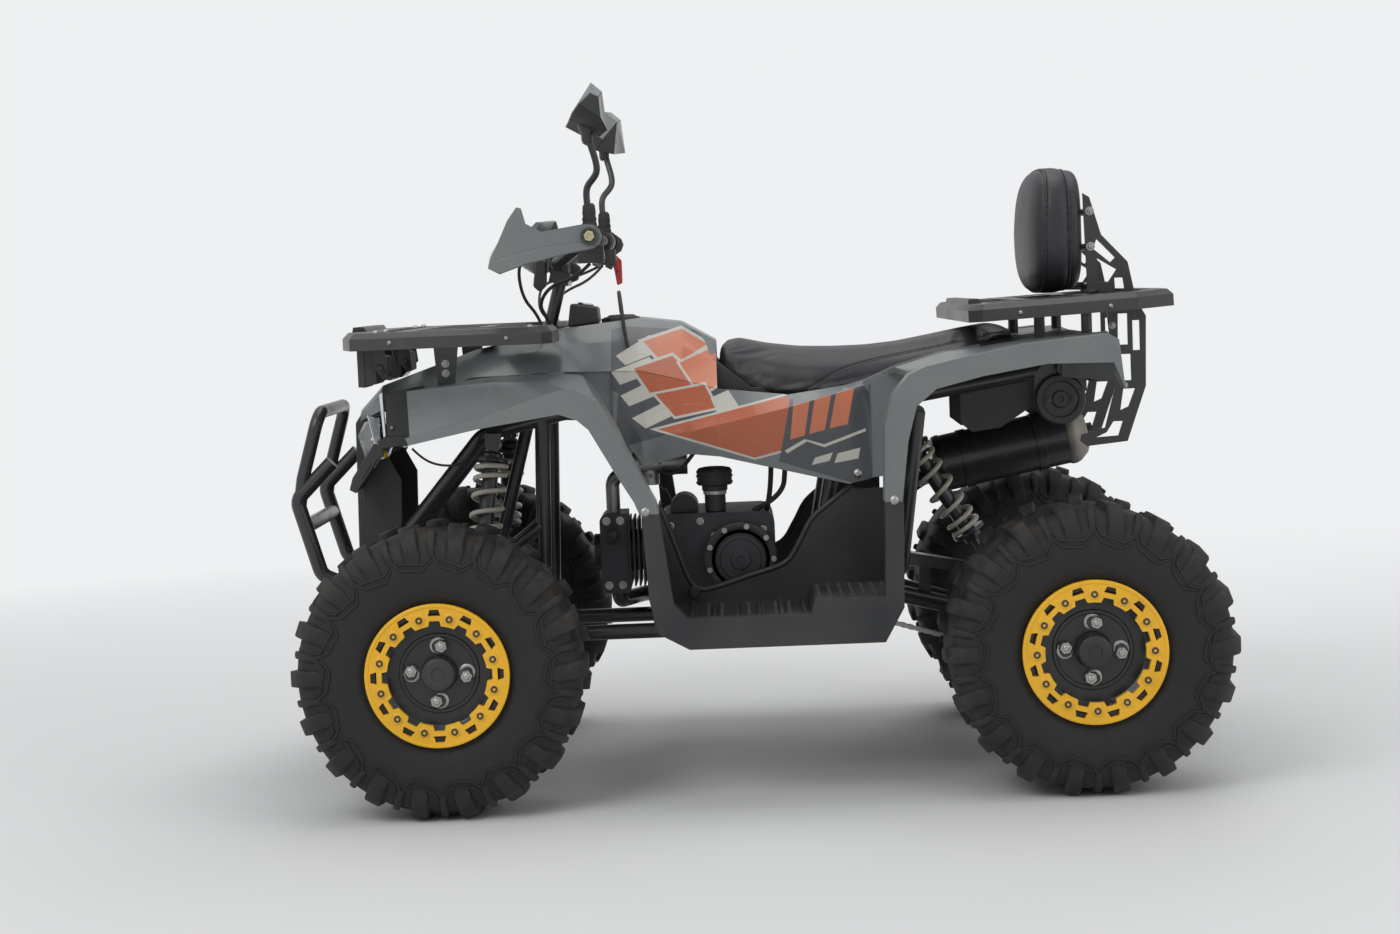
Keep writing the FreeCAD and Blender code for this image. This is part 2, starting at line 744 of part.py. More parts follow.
# Frame: bent tubes on both sides and cross tubes, with the ears for the suspension
rail_y = size("rail_y")
rail_z = size("lower_rail_z")
frame_tube = size("frame_tube_radius")
SIDE_PATHS = [
    # x and z of the corners of each side tube
    [(-600, 400), (-590, 300), (-545, 255), (-400, 243), (150, 243), (262, 330), (300, 600)],
    [(-600, 400), (-552, 458), (-440, 590), (-300, 622), (120, 600), (560, 668)],
    [(-350, 243), (-338, 612)],
    [(100, 243), (170, 604)],
    [(-560, 262), (-345, 430)],
]
TAIL_TUBE = (545, 664)
swing_x, swing_z = size("swing_pivot_x"), size("swing_pivot_z")
CROSS_TUBES = [(-592, 330), (-570, 436), (-400, 243), (-415, 375), (-347, 612), (150, 243), (300, 598), (545, 664)]


def drawn_z(z):
    """Heights near the lower rail follow it."""
    return rail_z + (z - 243) if z < 340 else term(z)


def rail_tubes(side, radius):
    paths = [[(at(x), side * rail_y, drawn_z(z)) for x, z in corners] for corners in SIDE_PATHS]
    return [bent_tube(path, radius, 45) for path in paths]


TAIL_PLATE = [(497, 625), (497, 655), (512, 672), (572, 672), (585, 655), (585, 625), (560, 606), (520, 606)]


def rails():
    """Tubes of the left side, with the wishbones' ears and pins and the brackets that they carry."""
    solids = rail_tubes(-1, frame_tube)
    for z in (size("arm_low_pivot_z"), size("arm_high_pivot_z")):
        for end in (-1, 1):
            x = front_x + end * size("arm_spread")
            for x0 in (x - 18 - gap - 4, x + 18 + gap):
                solids.append(block(x0, x0 + 4, -(pivot_y + 8), -(rail_y - 4), z - 11, z + 11))
            solids.append(rod((x - 26, -pivot_y, z), (x + 26, -pivot_y, z), size("pivot_pin_radius")))
    x, y, z = FRONT_SHOCK[0]
    solids.append(rod((x, -(rail_y + 4), z), (x, y - 18, z), size("pivot_pin_radius")))
    for ear in (-17.3, 13.3):
        solids.append(block(x - 12, x + 12, y + ear, y + ear + 4, z - 7, z + 18))
    solids.append(block(x - 12, x + 12, y - 18, -rail_y, z + 14, z + 20))
    # Swingarm plate, and the end of the tube and the plate that carry the tail
    solids.append(block(swing_x - 24, swing_x + 24, -rail_y, 6 - rail_y, rail_z + 6, swing_z + 26))
    solids.append(across(at(TAIL_TUBE[0]), drawn_z(TAIL_TUBE[1]), gap - size("bracket_y"), -rail_y, frame_tube - 1))
    solids.append(plate(along(TAIL_PLATE), -119, 6))
    for x in (522, 564):
        solids.append(across(at(x), 634, -123, -118, 7))
    return fused(solids)


def frame():
    """What joins the two sides: cross tubes, the engine's cradle, posts, bearings and the rear bracket."""
    solids = []
    for x, z in CROSS_TUBES:
        solids.append(across(at(x), drawn_z(z), -rail_y, rail_y, frame_tube - 1))
    for x in (-100, 30):
        solids.append(across(at(x), rail_z, -rail_y, rail_y, frame_tube - 1))
        solids.append(block(at(x) - 10, at(x) + 10, -60, 60, rail_z, 290 - gap))
    for y in (-70, 70):
        solids.append(rod((at(-347), y, 606), (at(-347), y, 748.5), 8))
    x, y, z = REAR_SHOCK[0]
    for y0 in (13.3, -17.3):
        solids.append(block(x - 12, x + 22, y0, y0 + 4, z - 12, z + 38))
    solids.append(across(x, z, -17, 17, size("pivot_pin_radius")))
    for reach in (60, 320):
        solids.append(Part.makeCylinder(20, 30, vec(*low) + lean * reach, lean))
    whole = fused(solids).cut(Part.makeCylinder(float(size("column_radius") + gap), 420, vec(*low), lean))
    reach = rail_y - 6 - gap
    pin = across(swing_x, swing_z, -reach, reach, 8)
    for side in (-1, 1):
        tubes = fused(rail_tubes(side, frame_tube + gap))
        whole, pin = whole.cut(tubes), pin.cut(tubes)
    return Part.makeCompound(whole.Solids + pin.Solids)


feature("frame", frame())
near = feature("frame_rails_left", rails())
mirrored("frame_rails_right", near)

# Front bumper: two horns, a hoop between them and a cross tube
bumper_y = size("bumper_y")
bumper_tube = size("bumper_tube_radius")


def bumper():
    horn = [(at(-617), rail_y, 330), (at(-652), bumper_y - 8, 332), (at(-721), bumper_y, 365), (at(-757), bumper_y, 494),
            (at(-694), bumper_y, 556)]
    solids = [bent_tube(run, bumper_tube, 24) for run in both_sides(horn)]
    for y in (-rail_y, rail_y):
        solids.append(block(at(-617), at(-608.3), y - 20, y + 20, 308, 348))
    hoop = [(at(-753), -bumper_y, 478), (at(-745), -bumper_y, 528), (at(-712), -bumper_y, 640)]
    hoop += [(x, -y, z) for x, y, z in reversed(hoop)]
    solids.append(bent_tube(hoop, bumper_tube - 1.5, 30))
    solids.append(across(at(-744), 448, -bumper_y, bumper_y, bumper_tube - 1.5))
    return fused(solids)


feature("front_bumper", bumper())

# Hood and tank cover: a thin shell through sections across the bike
HOOD_SECTIONS = [
    # x, half width and z of the top edge, of the shoulder and of the lower edge
    (-645, (104, 640), (118, 634), (124, 622)),
    (-604, (120, 681), (160, 664), (176, 640)),
    (-447, (100, 734), (140, 712), (178, 690)),
    (-301, (95, 764), (135, 736), (178, 693)),
    (-165, (88, 777), (130, 745), (172, 690)),
    (-97, (82, 767), (126, 730), (170, 672)),
    (-38, (66, 733), (116, 700), (166, 655)),
]


def shell_section(body, name, x, right):
    """A thin arch across the bike from the corners of its right half, outermost last."""
    wall = size("panel_wall")
    (top_y, top_z), (mid_y, mid_z), (low_y, low_z) = right
    outer = [(low_y, low_z), (mid_y, mid_z), (top_y, top_z)]
    inner = [(top_y - wall / 2, top_z - wall), (mid_y - wall, mid_z - wall / 2), (low_y - wall, low_z)]
    points = [(-y, z) for y, z in outer] + [(y, z) for y, z in reversed(outer)]
    points += [(y, z) for y, z in reversed(inner)] + [(-y, z) for y, z in inner]
    return outline(body, name, "YZ_Plane", points, at(x))


body = new_body("hood")
loft(body, [shell_section(body, "hood_section_%d" % i, x, right) for i, (x, *right) in enumerate(HOOD_SECTIONS)])
cap_radius = size("fuel_cap_radius")
cap_x = at(-200)
pocket(body, circle(body, "column_hole", "XY_Plane", size("column_high_x") - 27, 0, 30))
pocket(body, circle(body, "filler_hole", "XY_Plane", cap_x, 0, cap_radius + 0.5))

# Front fenders: a skin from the hood down to the lip, and the band that runs down to the footwell
FRONT_FENDER = [
    # y, then x and z along the skin from front to rear
    (178.3, [(-556, 672), (-430, 689), (-301, 692), (-262, 688), (-240, 664)]),
    (300, [(-540, 676), (-400, 686), (-311, 682), (-240, 660), (-198, 600)]),
    (392, [(-526, 606), (-412, 631), (-268, 670), (-222, 646), (-178, 566)]),
]
FRONT_BAND = [(-527, 608), (-412, 634), (-290, 672), (-258, 674), (-226, 655), (-178, 569), (-140, 493), (-136, 474),
              (-166, 474), (-174, 494), (-203, 543), (-240, 610), (-258, 626), (-286, 636), (-413, 618), (-522, 597)]


def skin(body, name, rows, depth):
    """A ruled skin between outlines in planes along the bike."""
    sketches = []
    for number, (y, upper) in enumerate(rows):
        lower = [(x, z - depth) for x, z in reversed(upper)]
        sketches.append(outline(body, "%s_%d" % (name, number), "XZ_Plane", along(upper + lower), y))
    loft(body, sketches)


outer_y, band_width = size("fender_outer_y"), size("fender_band_width")
body = new_body("front_fender_left")
skin(body, "front_skin", FRONT_FENDER, 9)
pad(body, outline(body, "front_band", "XZ_Plane", along(FRONT_BAND), outer_y - band_width), band_width)
pair("front_fenders", body)

# Side panels under the hood and the seat, kinked along a ridge
SIDE_PANEL = [
    # x, then y and z of the upper edge, the ridge and the lower edge
    (-214, (174, 690.7), (176, 655), (172, 600)),
    (-165, (172, 689.6), (190, 580), (180, 530)),
    (-88, (169.4, 669), (194, 586), (182, 548)),
    (-38, (166, 654.6), (196, 596), (184, 542)),
    (80, (162, 640), (196, 620), (186, 512)),
    (175, (164, 652), (194, 644), (188, 488)),
    (214, (166, 662), (190, 654), (188, 496)),
]
body = new_body("side_panel_left")
sections = []
for number, (x, top, ridge, bottom) in enumerate(SIDE_PANEL):
    outer = [(-y, z) for y, z in (top, ridge, bottom)]
    inner = [(-(y - size("panel_wall")), z) for y, z in (bottom, ridge, top)]
    sections.append(outline(body, "panel_section_%d" % number, "YZ_Plane", outer + inner, at(x)))
loft(body, sections)
pair("side_panels", body)

# Rear body: fender skins with their bands, and the tail panel between them
REAR_FENDER = [
    # y, then x and z along the skin from front to rear
    (150, [(246, 674), (330, 700), (460, 712), (596, 722)]),
    (300, [(250, 684), (345, 706), (460, 720), (594, 728)]),
    (392, [(262, 680), (348, 696), (447, 713), (584, 724)]),
]
REAR_BAND = [(218, 478), (222, 600), (236, 646), (262, 676), (290, 688), (348, 700), (447, 717), (574, 727), (590, 718),
             (598, 640), (581, 682), (478, 684), (379, 669), (305, 652), (273, 626), (258, 572), (246, 478)]
body = new_body("rear_fender_left")
skin(body, "rear_skin", REAR_FENDER, 9)
pad(body, outline(body, "rear_band", "XZ_Plane", along(REAR_BAND), outer_y - band_width), band_width)
pair("rear_fenders", body)
body = new_body("tail_panel")
tail = [(470, 700), (588, 712), (588, 640), (598, 640), (598, 722), (470, 710)]
pad(body, outline(body, "tail_panel_side", "XZ_Plane", along(tail), -141.7), 283.4)

# Footwells: an outer frame with a raised rim, a floor, the inner wall with its dipped edge, and end walls
FOOTWELL_FRAME = [(-163, 473.7), (-136, 473.7), (-118, 330), (-96, 306), (96, 306), (104, 330), (214, 330), (219, 477.7),
                  (248, 477.7), (243, 312), (212, 258), (-96, 258), (-143, 284), (-156, 336)]
FOOTWELL_WALL = [(-150, 290), (-150, 470), (-135, 440), (-97, 330), (-61, 318), (64, 356), (112, 430), (180, 484),
                 (186, 477.7), (246, 477.7), (243, 290)]
FOOTWELL_FLOOR = [(-140, 296), (98, 296), (106, 322), (243, 322), (241, 310), (116, 310), (108, 284), (-140, 284)]
inner_y = size("footwell_inner_y")
floor_width = outer_y - 28 - inner_y
body = new_body("footwell_left")
pad(body, outline(body, "footwell_frame", "XZ_Plane", along(FOOTWELL_FRAME), outer_y - 30), 30)
pad(body, outline(body, "footwell_floor", "XZ_Plane", along(FOOTWELL_FLOOR), inner_y), floor_width)
pad(body, outline(body, "footwell_wall", "XZ_Plane", along(FOOTWELL_WALL), inner_y), size("footwell_wall"))
for name, end_wall in (("front", [(-150, 284), (-138, 284), (-150, 420), (-162, 420)]),
                       ("rear", [(231, 312), (243, 312), (247, 477.7), (235, 477.7)])):
    pad(body, outline(body, "footwell_%s_wall" % name, "XZ_Plane", along(end_wall), inner_y), floor_width)
for number in range(6):
    x = -96 + 36 * number
    tread = [(x, 294), (x + 10, 294), (x + 8, 303), (x + 2, 303)]
    pad(body, outline(body, "tread_bar_%d" % number, "XZ_Plane", along(tread), inner_y + 40), floor_width - 60)
pair("footwells", body)

# Seat: one closed cushion
SEAT_SECTIONS = [
    # x, half width and z of the top edge, half width and z of the side, z below
    (-33, (58, 728), (90, 706), 690),
    (60, (92, 711), (126, 692), 645),
    (226, (105, 714), (146, 694), 668),
    (346, (110, 726), (149.6, 706), 698),
    (464, (100, 733), (130, 716), 714),
]
body = new_body("seat")
sections = []
for number, (x, top, side, z_low) in enumerate(SEAT_SECTIONS):
    right = [(side[0], z_low), side, top]
    points = [(-y, z) for y, z in right] + [(y, z) for y, z in reversed(right)]
    sections.append(outline(body, "seat_section_%d" % number, "YZ_Plane", points, at(x)))
loft(body, sections)

# Racks: bevelled slabs with long windows
rack_half, rack_depth = size("rack_half_width"), size("rack_thickness")


def rack(half, windows, z):
    """A slab from the corners of its left half, rim to middle, with its windows cut on both sides."""
    points = [(at(x), -term(y)) for x, y in half] + [(at(x), y) for x, y in reversed(half) if float(term(y))]
    whole = bevel_top(slab(points, z, rack_depth), size("rack_bevel"))
    for x0, x1, y0, y1 in windows:
        for side in (-1, 1):
            a, b = sorted((side * float(term(y0)), side * float(term(y1))))
            whole = whole.cut(block(at(x0), at(x1), a, b, z - 5, z + 60))
    return whole


FRONT_RACK = [(-662, 0), (-662, 150), (-650, 235), (-624, rack_half), (-316, rack_half), (-300, rack_half - 24),
              (-300, 150), (-410, 118), (-410, 0)]
FRONT_WINDOWS = [
    # x from and to, y from and to
    (-600, -560, 8, 100), (-530, -440, 8, 100), (-600, -560, 116, 190), (-600, -560, 206, 270),
    (-530, -350, 136, 190), (-530, -350, 206, 270),
]


def front_rack():
    z = size("front_rack_z")
    solids = [rack(FRONT_RACK, FRONT_WINDOWS, z)]
    foot = [(at(-505), z + 6), (at(-464), z + 6), (at(-472), 683.2), (at(-500), 679.7)]
    solids += [plate(foot, side * 204 - 5, 10) for side in (-1, 1)]
    lip = [(at(-652), z + rack_depth - 2), (at(-650), z + rack_depth + 8), (at(-632), z + rack_depth + 8),
           (at(-626), z + rack_depth - 2)]
    solids.append(plate(lip, -120, 240))
    return fused(solids)


feature("front_rack", front_rack())
REAR_RACK = [(372, 0), (372, rack_half - 30), (392, rack_half), (640, rack_half), (708, rack_half - 60), (718, 150),
             (718, 0)]
REAR_WINDOWS = [(410, 470, 8, 120), (494, 560, 8, 120), (586, 690, 0, 174), (410, 470, 196, 270), (494, 570, 196, 270),
                (594, 660, 196, 270)]
REAR_RACK_CLIMB = 2.4


def rear_rack():
    z = size("rear_rack_z")
    lip = [(at(382), z + rack_depth - 2), (at(384), z + rack_depth + 8), (at(400), z + rack_depth + 8),
           (at(406), z + rack_depth - 2)]
    tilted = fused([rack(REAR_RACK, REAR_WINDOWS, z), plate(lip, -200, 400)])
    tilted.rotate(vec(at(372), 0, z), Vector(0, 1, 0), -REAR_RACK_CLIMB)
    feet = []
    for side in (-1, 1):
        for x, foot_z in ((500, 717.6), (578, 723.1)):
            top = z + 6 + (x - 372) * math.tan(math.radians(REAR_RACK_CLIMB))
            feet.append(rod((at(x), side * 184, foot_z), (at(x), side * 184, top), 9))
    return fused([tilted] + feet)


feature("rear_rack", rear_rack())

# Backrest: two cut plates that carry the pad
BACK_PLATE = [(583, 955), (594, 948), (612, 885), (655, 838), (668, 773), (683, 747), (680, 630), (647, 538), (579, 532),
              (568, 541), (570, 552), (610, 562), (629, 632), (619, 742), (618, 792), (587, 793)]
BACK_TONGUE = [(625, 692), (540, 680), (540, 650), (630, 640)]
BACK_WINDOWS = [
    # corners of each window in a plate
    [(598, 862), (626, 838), (634, 846), (604, 878)],
    [(604, 806), (622, 806), (636, 826), (604, 846)],
    [(634, 770), (652, 770), (646, 812), (632, 812)],
    [(634, 700), (652, 700), (652, 752), (634, 752)],
    [(660, 690), (672, 690), (672, 740), (660, 740)],
    [(640, 640), (656, 640), (656, 684), (636, 684)],
    [(636, 590), (650, 596), (662, 626), (642, 626)],
    [(594, 546), (632, 548), (640, 572), (624, 572), (612, 554)],
]


def backrest_bracket():
    y, thick = size("bracket_y"), size("bracket_thickness")
    solids = []
    for y0 in (-(y + thick), y):
        side = fused([plate(along(corners), y0, thick) for corners in (BACK_PLATE, BACK_TONGUE)])
        for corners in BACK_WINDOWS:
            side = side.cut(plate(along(corners), y0 - 1, thick + 2))
        solids.append(side)
    for x, z in ((594, 925), (594, 866), (626, 800), (628, 650)):
        solids.append(across(at(x), z, -(y + 2), y + 2, 6))
    return fused(solids)


feature("backrest_bracket", backrest_bracket())
body = new_body("backrest_pad")
PAD_SIDE = [(495, 812), (505, 790), (570, 792), (582.7, 815), (582.7, 960), (560, 1000), (520, 1003), (498, 980)]
half = size("backrest_half_width")
pad(body, outline(body, "backrest_side", "XZ_Plane", along(PAD_SIDE), -half), half * 2)


def round_y_edges(solid, radius, choose=lambda edge: True):
    """Round the edges that run across the bike."""
    edges = [e for e in solid.Edges if abs(e.tangentAt(e.FirstParameter).y) > 0.9 and choose(e)]
    return solid.makeFillet(radius, edges)


ENGINE_COVERS = [
    # x, z, y from and to, radius
    (-10, 362, -118, -90, 62), (-10, 362, -126, -110, 44), (-60, 358, 90, 122, 68), (-60, 358, 118, 128, 40),
    (-104, 446, -60, 10, 24),
]


def engine():
    """Crankcase with its covers, the finned cylinder lying forward, and its head."""
    solids = [round_y_edges(block(-150, 50, -95, 95, 290, 440), 22)]
    for x, z, y0, y1, radius in ENGINE_COVERS:
        solids.append(across(x, z, y0, y1, radius))
    solids.append(rod((-148, 0, 372), (-206, 0, 372), 36))
    for number in range(6):
        x = -160 - number * 8
        solids.append(block(x - 3, x, -56, 56, 314, 430))
    solids.append(round_y_edges(block(-252, -204, -50, 50, 302, 440), 14, lambda e: e.CenterOfMass.x < -250))
    solids.append(rod((-250, 0, 372), (-264, 0, 372), 30))
    return fused(solids)


feature("engine", engine())
AIR_FILTER = [(486, 508, 30), (476, 488, 22), (440.4, 480, 18)]
feature("air_filter", fused([rod((-50, -70, z0), (-50, -70, z1), radius) for z0, z1, radius in AIR_FILTER]))


def carburettor():
    """A body along the bike with its bowl and cap, on a manifold from the cylinder's head."""
    return fused([
        rod((-196, -40, 527), (-124, -40, 527), 20), rod((-160, -40, 488), (-160, -40, 520), 15),
        rod((-160, -40, 535), (-160, -40, 570), 14), rod((-126, -40, 527), (-96, -40, 527), 23),
        bent_tube([(-228, -20, 440.5 + gap), (-228, -22, 496), (-190, -40, 527)], 12, 20),
    ])


feature("carburettor", carburettor())


def exhaust():
    y, radius = float(size("muffler_y")), float(size("muffler_radius"))
    start = vec(at(345), y, 493)
    way = Vector(1, 0, 0.187).normalize()
    length = float(size("muffler_length"))
    can = Part.makeCylinder(radius, length, start, way)
    cap = Part.makeCone(radius, radius - 16, 26, start + way * length, way)
    tip = Part.makeCylinder(13, 22, start + way * (length + 20), way)
    path = [(-226, 30, 301.7), (-226, 30, 280), (-185, 137, 277), (60, 137, 277), (200, 138, 340), (at(300), 137, 452),
            (at(360), y, 497)]
    return fused([can, cap, tip, bent_tube(path, size("exhaust_pipe_radius"), 14)])


feature("exhaust", exhaust())


GUARD_TOP = [(238, 349), (258, 361), (376, 337), (378, 333), (258, 356.5), (241, 346)]
GUARD_LIP = [(238, 349), (258, 361), (376, 337), (376, 318), (262, 338), (240, 332)]


def swingarm():
    """Two arms to the bearing carrier of the rear axle."""
    px, pz = size("swing_pivot_x"), size("swing_pivot_z")
    end = size("carrier_half_length")
    solids = [across(px, pz, -80, 80, 18), across(rear_x, rear_z, -end, end, size("carrier_radius"))]
    for side in (-1, 1):
        run = [(px, side * 66, pz), (rear_x - 157, side * 40, 250), (rear_x - 15, side * 34, rear_z)]
        solids.append(bent_tube(run, 15, 60))
    solids.append(across(rear_x - 137, 252, -40, 40, 13))
    x, y, z = REAR_SHOCK[1]
    for ear in (-17.3, 13.3):
        solids.append(block(x - 28, x + 12, ear, ear + 4, 245, z + 12))
    solids.append(across(x, z, -17, 17, size("pivot_pin_radius")))
    # Chain guard: a top with an outer lip, on a bracket inside the chain
    solids.append(plate(along(GUARD_TOP), -80, 32))
    solids.append(plate(along(GUARD_LIP), -80, 2.5))
    solids.append(plate(along([(296, 262), (316, 260), (316, 350), (296, 353)]), -54, 5))
    whole = fused(solids).cut(across(rear_x, rear_z, -60, 60, size("axle_radius") + gap))
    return whole.cut(across(px, pz, -100, 100, 8 + gap))


feature("swingarm", swingarm())
sprocket_y, sprocket_t = size("sprocket_y"), size("sprocket_thickness")


def rear_axle():
    end = disc_face_of(size("rear_wheel_y"), size("rear_tyre_width"))
    solids = [across(rear_x, rear_z, -(end + 36), end + 36, size("axle_radius"))]
    for side in (-1, 1):
        solids.append(across(rear_x, rear_z, side * (end - 40), side * (end - 6), 30))
        solids.append(across(rear_x, rear_z, side * (end - 6), side * (end - gap), size("hub_flange_radius")))
    solids.append(across(rear_x, rear_z, 92, 96, size("rear_disc_radius")))
    solids.append(across(rear_x, rear_z, 70, 100, 28))
    solids.append(across(rear_x, rear_z, -(sprocket_y + sprocket_t), -sprocket_y, size("sprocket_radius")))
    solids.append(across(rear_x, rear_z, -(sprocket_y + 24), -sprocket_y, 28))
    return fused(solids)


feature("rear_axle", rear_axle())


CHAIN_ARC_STEPS = 10


def loop_solid(extra, width, y_mid):
    """What a loop round both sprockets encloses, that much outside their radii."""
    x0, z0 = float(size("drive_sprocket_x")), float(size("drive_sprocket_z"))
    x1, z1 = float(rear_x), float(rear_z)
    r0, r1 = float(size("drive_sprocket_radius")) + extra, float(size("sprocket_radius")) + extra
    slope = math.atan2(z1 - z0, x1 - x0)
    spread = math.asin((r1 - r0) / math.hypot(x1 - x0, z1 - z0))
    up, down = slope + math.pi / 2 + spread, slope - math.pi / 2 - spread

    def spot(x, z, radius, angle):
        return Vector(x + radius * math.cos(angle), y_mid - width / 2, z + radius * math.sin(angle))

    spots = []
    for x, z, radius, start, end in ((x1, z1, r1, up, down), (x0, z0, r0, down + 2 * math.pi, up)):
        for i in range(CHAIN_ARC_STEPS + 1):
            reach = radius / math.cos((start - end) / CHAIN_ARC_STEPS / 2)
            spots.append(spot(x, z, reach, start + (end - start) * i / CHAIN_ARC_STEPS))
    return Part.Face(Part.makePolygon(spots + [spots[0]])).extrude(Vector(0, width, 0))


chain_y = -(float(sprocket_y) + float(sprocket_t) / 2)
chain_width = float(size("chain_width"))
chain = loop_solid(0.6 + float(size("chain_height")), chain_width, chain_y)
feature("chain", chain.cut(loop_solid(0.6, chain_width + 10, chain_y)))


# Shock absorbers: a damper with its spring seats, and a coil of facets between them
def damper(top, bottom, coil_from, coil_to):
    top, bottom = vec(*top), vec(*bottom)
    way = (bottom - top).normalize()
    length = (bottom - top).Length
    radius = float(size("damper_radius"))
    seat = float(size("coil_radius") + size("coil_wire_radius"))
    solids = [Part.makeCylinder(radius, coil_to - 11, top + way * 11, way),
              Part.makeCylinder(radius - 6, length - 8, top + way * 4, way),
              Part.makeCylinder(seat, 6, top + way * (coil_from - 6), way),
              Part.makeCylinder(seat, 6, top + way * coil_to, way)]
    eyes = [(p - Vector(0, 13, 0), Vector(0, 1, 0)) for p in (top, bottom)]
    whole = fused(solids + [Part.makeCylinder(12, 26, *eye) for eye in eyes])
    for eye in eyes:
        whole = whole.cut(Part.makeCylinder(float(size("pivot_pin_radius") + gap), 26, *eye))
    return whole


def coil(top, bottom, coil_from, coil_to):
    """A helix of triangles: six sides round the wire and twelve steps a turn."""
    top, bottom = vec(*top), vec(*bottom)
    way = (bottom - top).normalize()
    side = way.cross(Vector(0, 1, 0)).normalize()
    other = way.cross(side)
    radius, wire = float(size("coil_radius")), float(size("coil_wire_radius"))
    steps = int(float(size("coil_turns")) * 12)
    clear = wire + float(gap)
    run = coil_to - coil_from - 2 * clear
    rings = []
    for i in range(steps + 1):
        angle = 2 * math.pi * i / 12
        out = side * math.cos(angle) + other * math.sin(angle)
        centre = top + way * (coil_from + clear + run * i / steps) + out * radius
        corners = [math.pi * (k + 0.5) / 3 for k in range(6)]
        rings.append([centre + out * (wire * math.cos(c)) + way * (wire * math.sin(c)) for c in corners])
    faces = [Part.Face(Part.makePolygon(r + [r[0]])) for r in (rings[0], rings[-1])]
    for here, after in zip(rings, rings[1:]):
        for k in range(6):
            n = (k + 1) % 6
            for corners in ((here[k], here[n], after[n]), (here[k], after[n], after[k])):
                faces.append(Part.Face(Part.makePolygon(list(corners) + [corners[0]])))
    shell = Part.Shell(faces)
    shell.sewShape()
    solid = Part.Solid(shell)
    if solid.Volume < 0:
        solid.reverse()
    return solid


near = feature("front_shock_left", damper(*FRONT_SHOCK))
pair("front_shocks", near)
near = feature("front_spring_left", coil(*FRONT_SHOCK))
pair("front_springs", near)
feature("shock_rear", damper(*REAR_SHOCK))
feature("spring_rear", coil(*REAR_SHOCK))

# Nose: a dark strip between the lamps that runs down behind the bumper
NOSE_STRIP = [(-640, 635.6), (-645, 635.6), (-657, 618), (-662, 395), (-646, 395), (-640, 600)]
body = new_body("nose_cowl")
pad(body, outline(body, "nose_strip", "XZ_Plane", along(NOSE_STRIP), -102), 204)

# Panels beside the lamps: a corner, a lip under it and a slanting cheek
NOSE_CORNER = [(-594, 642.8), (-549, 656.3), (-529, 662.3), (-528, 604), (-549, 594), (-594, 597)]
NOSE_LIP = [(-605, 590), (-594, 597), (-549, 596), (-526, 606), (-522, 598), (-545, 583), (-603, 578)]
NOSE_CHEEK = [(-616, 585), (-600, 582), (-604, 566), (-650, 505), (-661, 510), (-655, 530)]
near = feature("nose_panel_left", fused([plate(along(NOSE_CORNER), -177.6, 73), plate(along(NOSE_LIP), -180, 75),
                                         plate(along(NOSE_CHEEK), -178, 12)]))
pair("nose_panels", near)

# Spotlights hang from the front rack on two arms each
SPOT_BODY = [(-634, 684), (-604, 684), (-592, 698), (-592, 730), (-604, 742), (-634, 742)]
SPOT_ARM = [(-608, 712), (-600, 702), (-588, 702), (-584, 712), (-586, 744.7), (-606, 744.7)]
arms = [plate(along(SPOT_ARM), y, 5) for y in (-200, -113)]
near = feature("spotlight_left", fused([plate(along(SPOT_BODY), -196, 84)] + arms))
pair("spotlights", near)

# A small dash box behind the column, on the hood
feature("dash", plate(along([(-292, 765.3), (-238, 770.4), (-240, 798), (-286, 806)]), -45, 90))

# Lamps: headlamps beside the strip, two spotlights under the front rack, and the tail lamp
body = new_body("headlamp_left")
LENS = [(-644, 600), (-632, 622), (-607, 630), (-607, 560), (-630, 548)]
pad(body, outline(body, "lens", "XZ_Plane", along(LENS), 102.3), 62)
pair("headlamps", body)
body = new_body("tail_lamp")
TAIL_LAMP = [(598.3, 660), (616, 664), (616, 700), (598.3, 704)]
pad(body, outline(body, "tail_side", "XZ_Plane", along(TAIL_LAMP), -50), 100)
fuel_cap = doc.addObject("Part::Cylinder", "fuel_cap")
set_size(fuel_cap, "Radius", cap_radius)
fuel_cap.Height = 18
move_to(fuel_cap, cap_x, 0, 764)
keep("fuel_cap", fuel_cap)

doc.recompute()
problems = ["%s is in error" % t.Label for t in doc.Objects if "Invalid" in t.State or "Error" in t.State]
for label, thing in parts.items():
    if thing.Shape.isNull() or not thing.Shape.isValid() or thing.Shape.Volume <= 0:
        problems.append("%s has no valid shape" % label)
if problems:
    raise SystemExit("\n".join(problems))

os.makedirs("parts", exist_ok=True)
for label, thing in parts.items():
    thing.Shape.exportStep("parts/%s.step" % label)
print(len(parts), "sub-parts written")
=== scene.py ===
"""Looks of the quad bike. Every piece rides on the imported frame; lengths in the tables are millimetres."""
import math

import bmesh
import bpy
from mathutils import Matrix, Vector
from mathutils.bvhtree import BVHTree
from mathutils.kdtree import KDTree


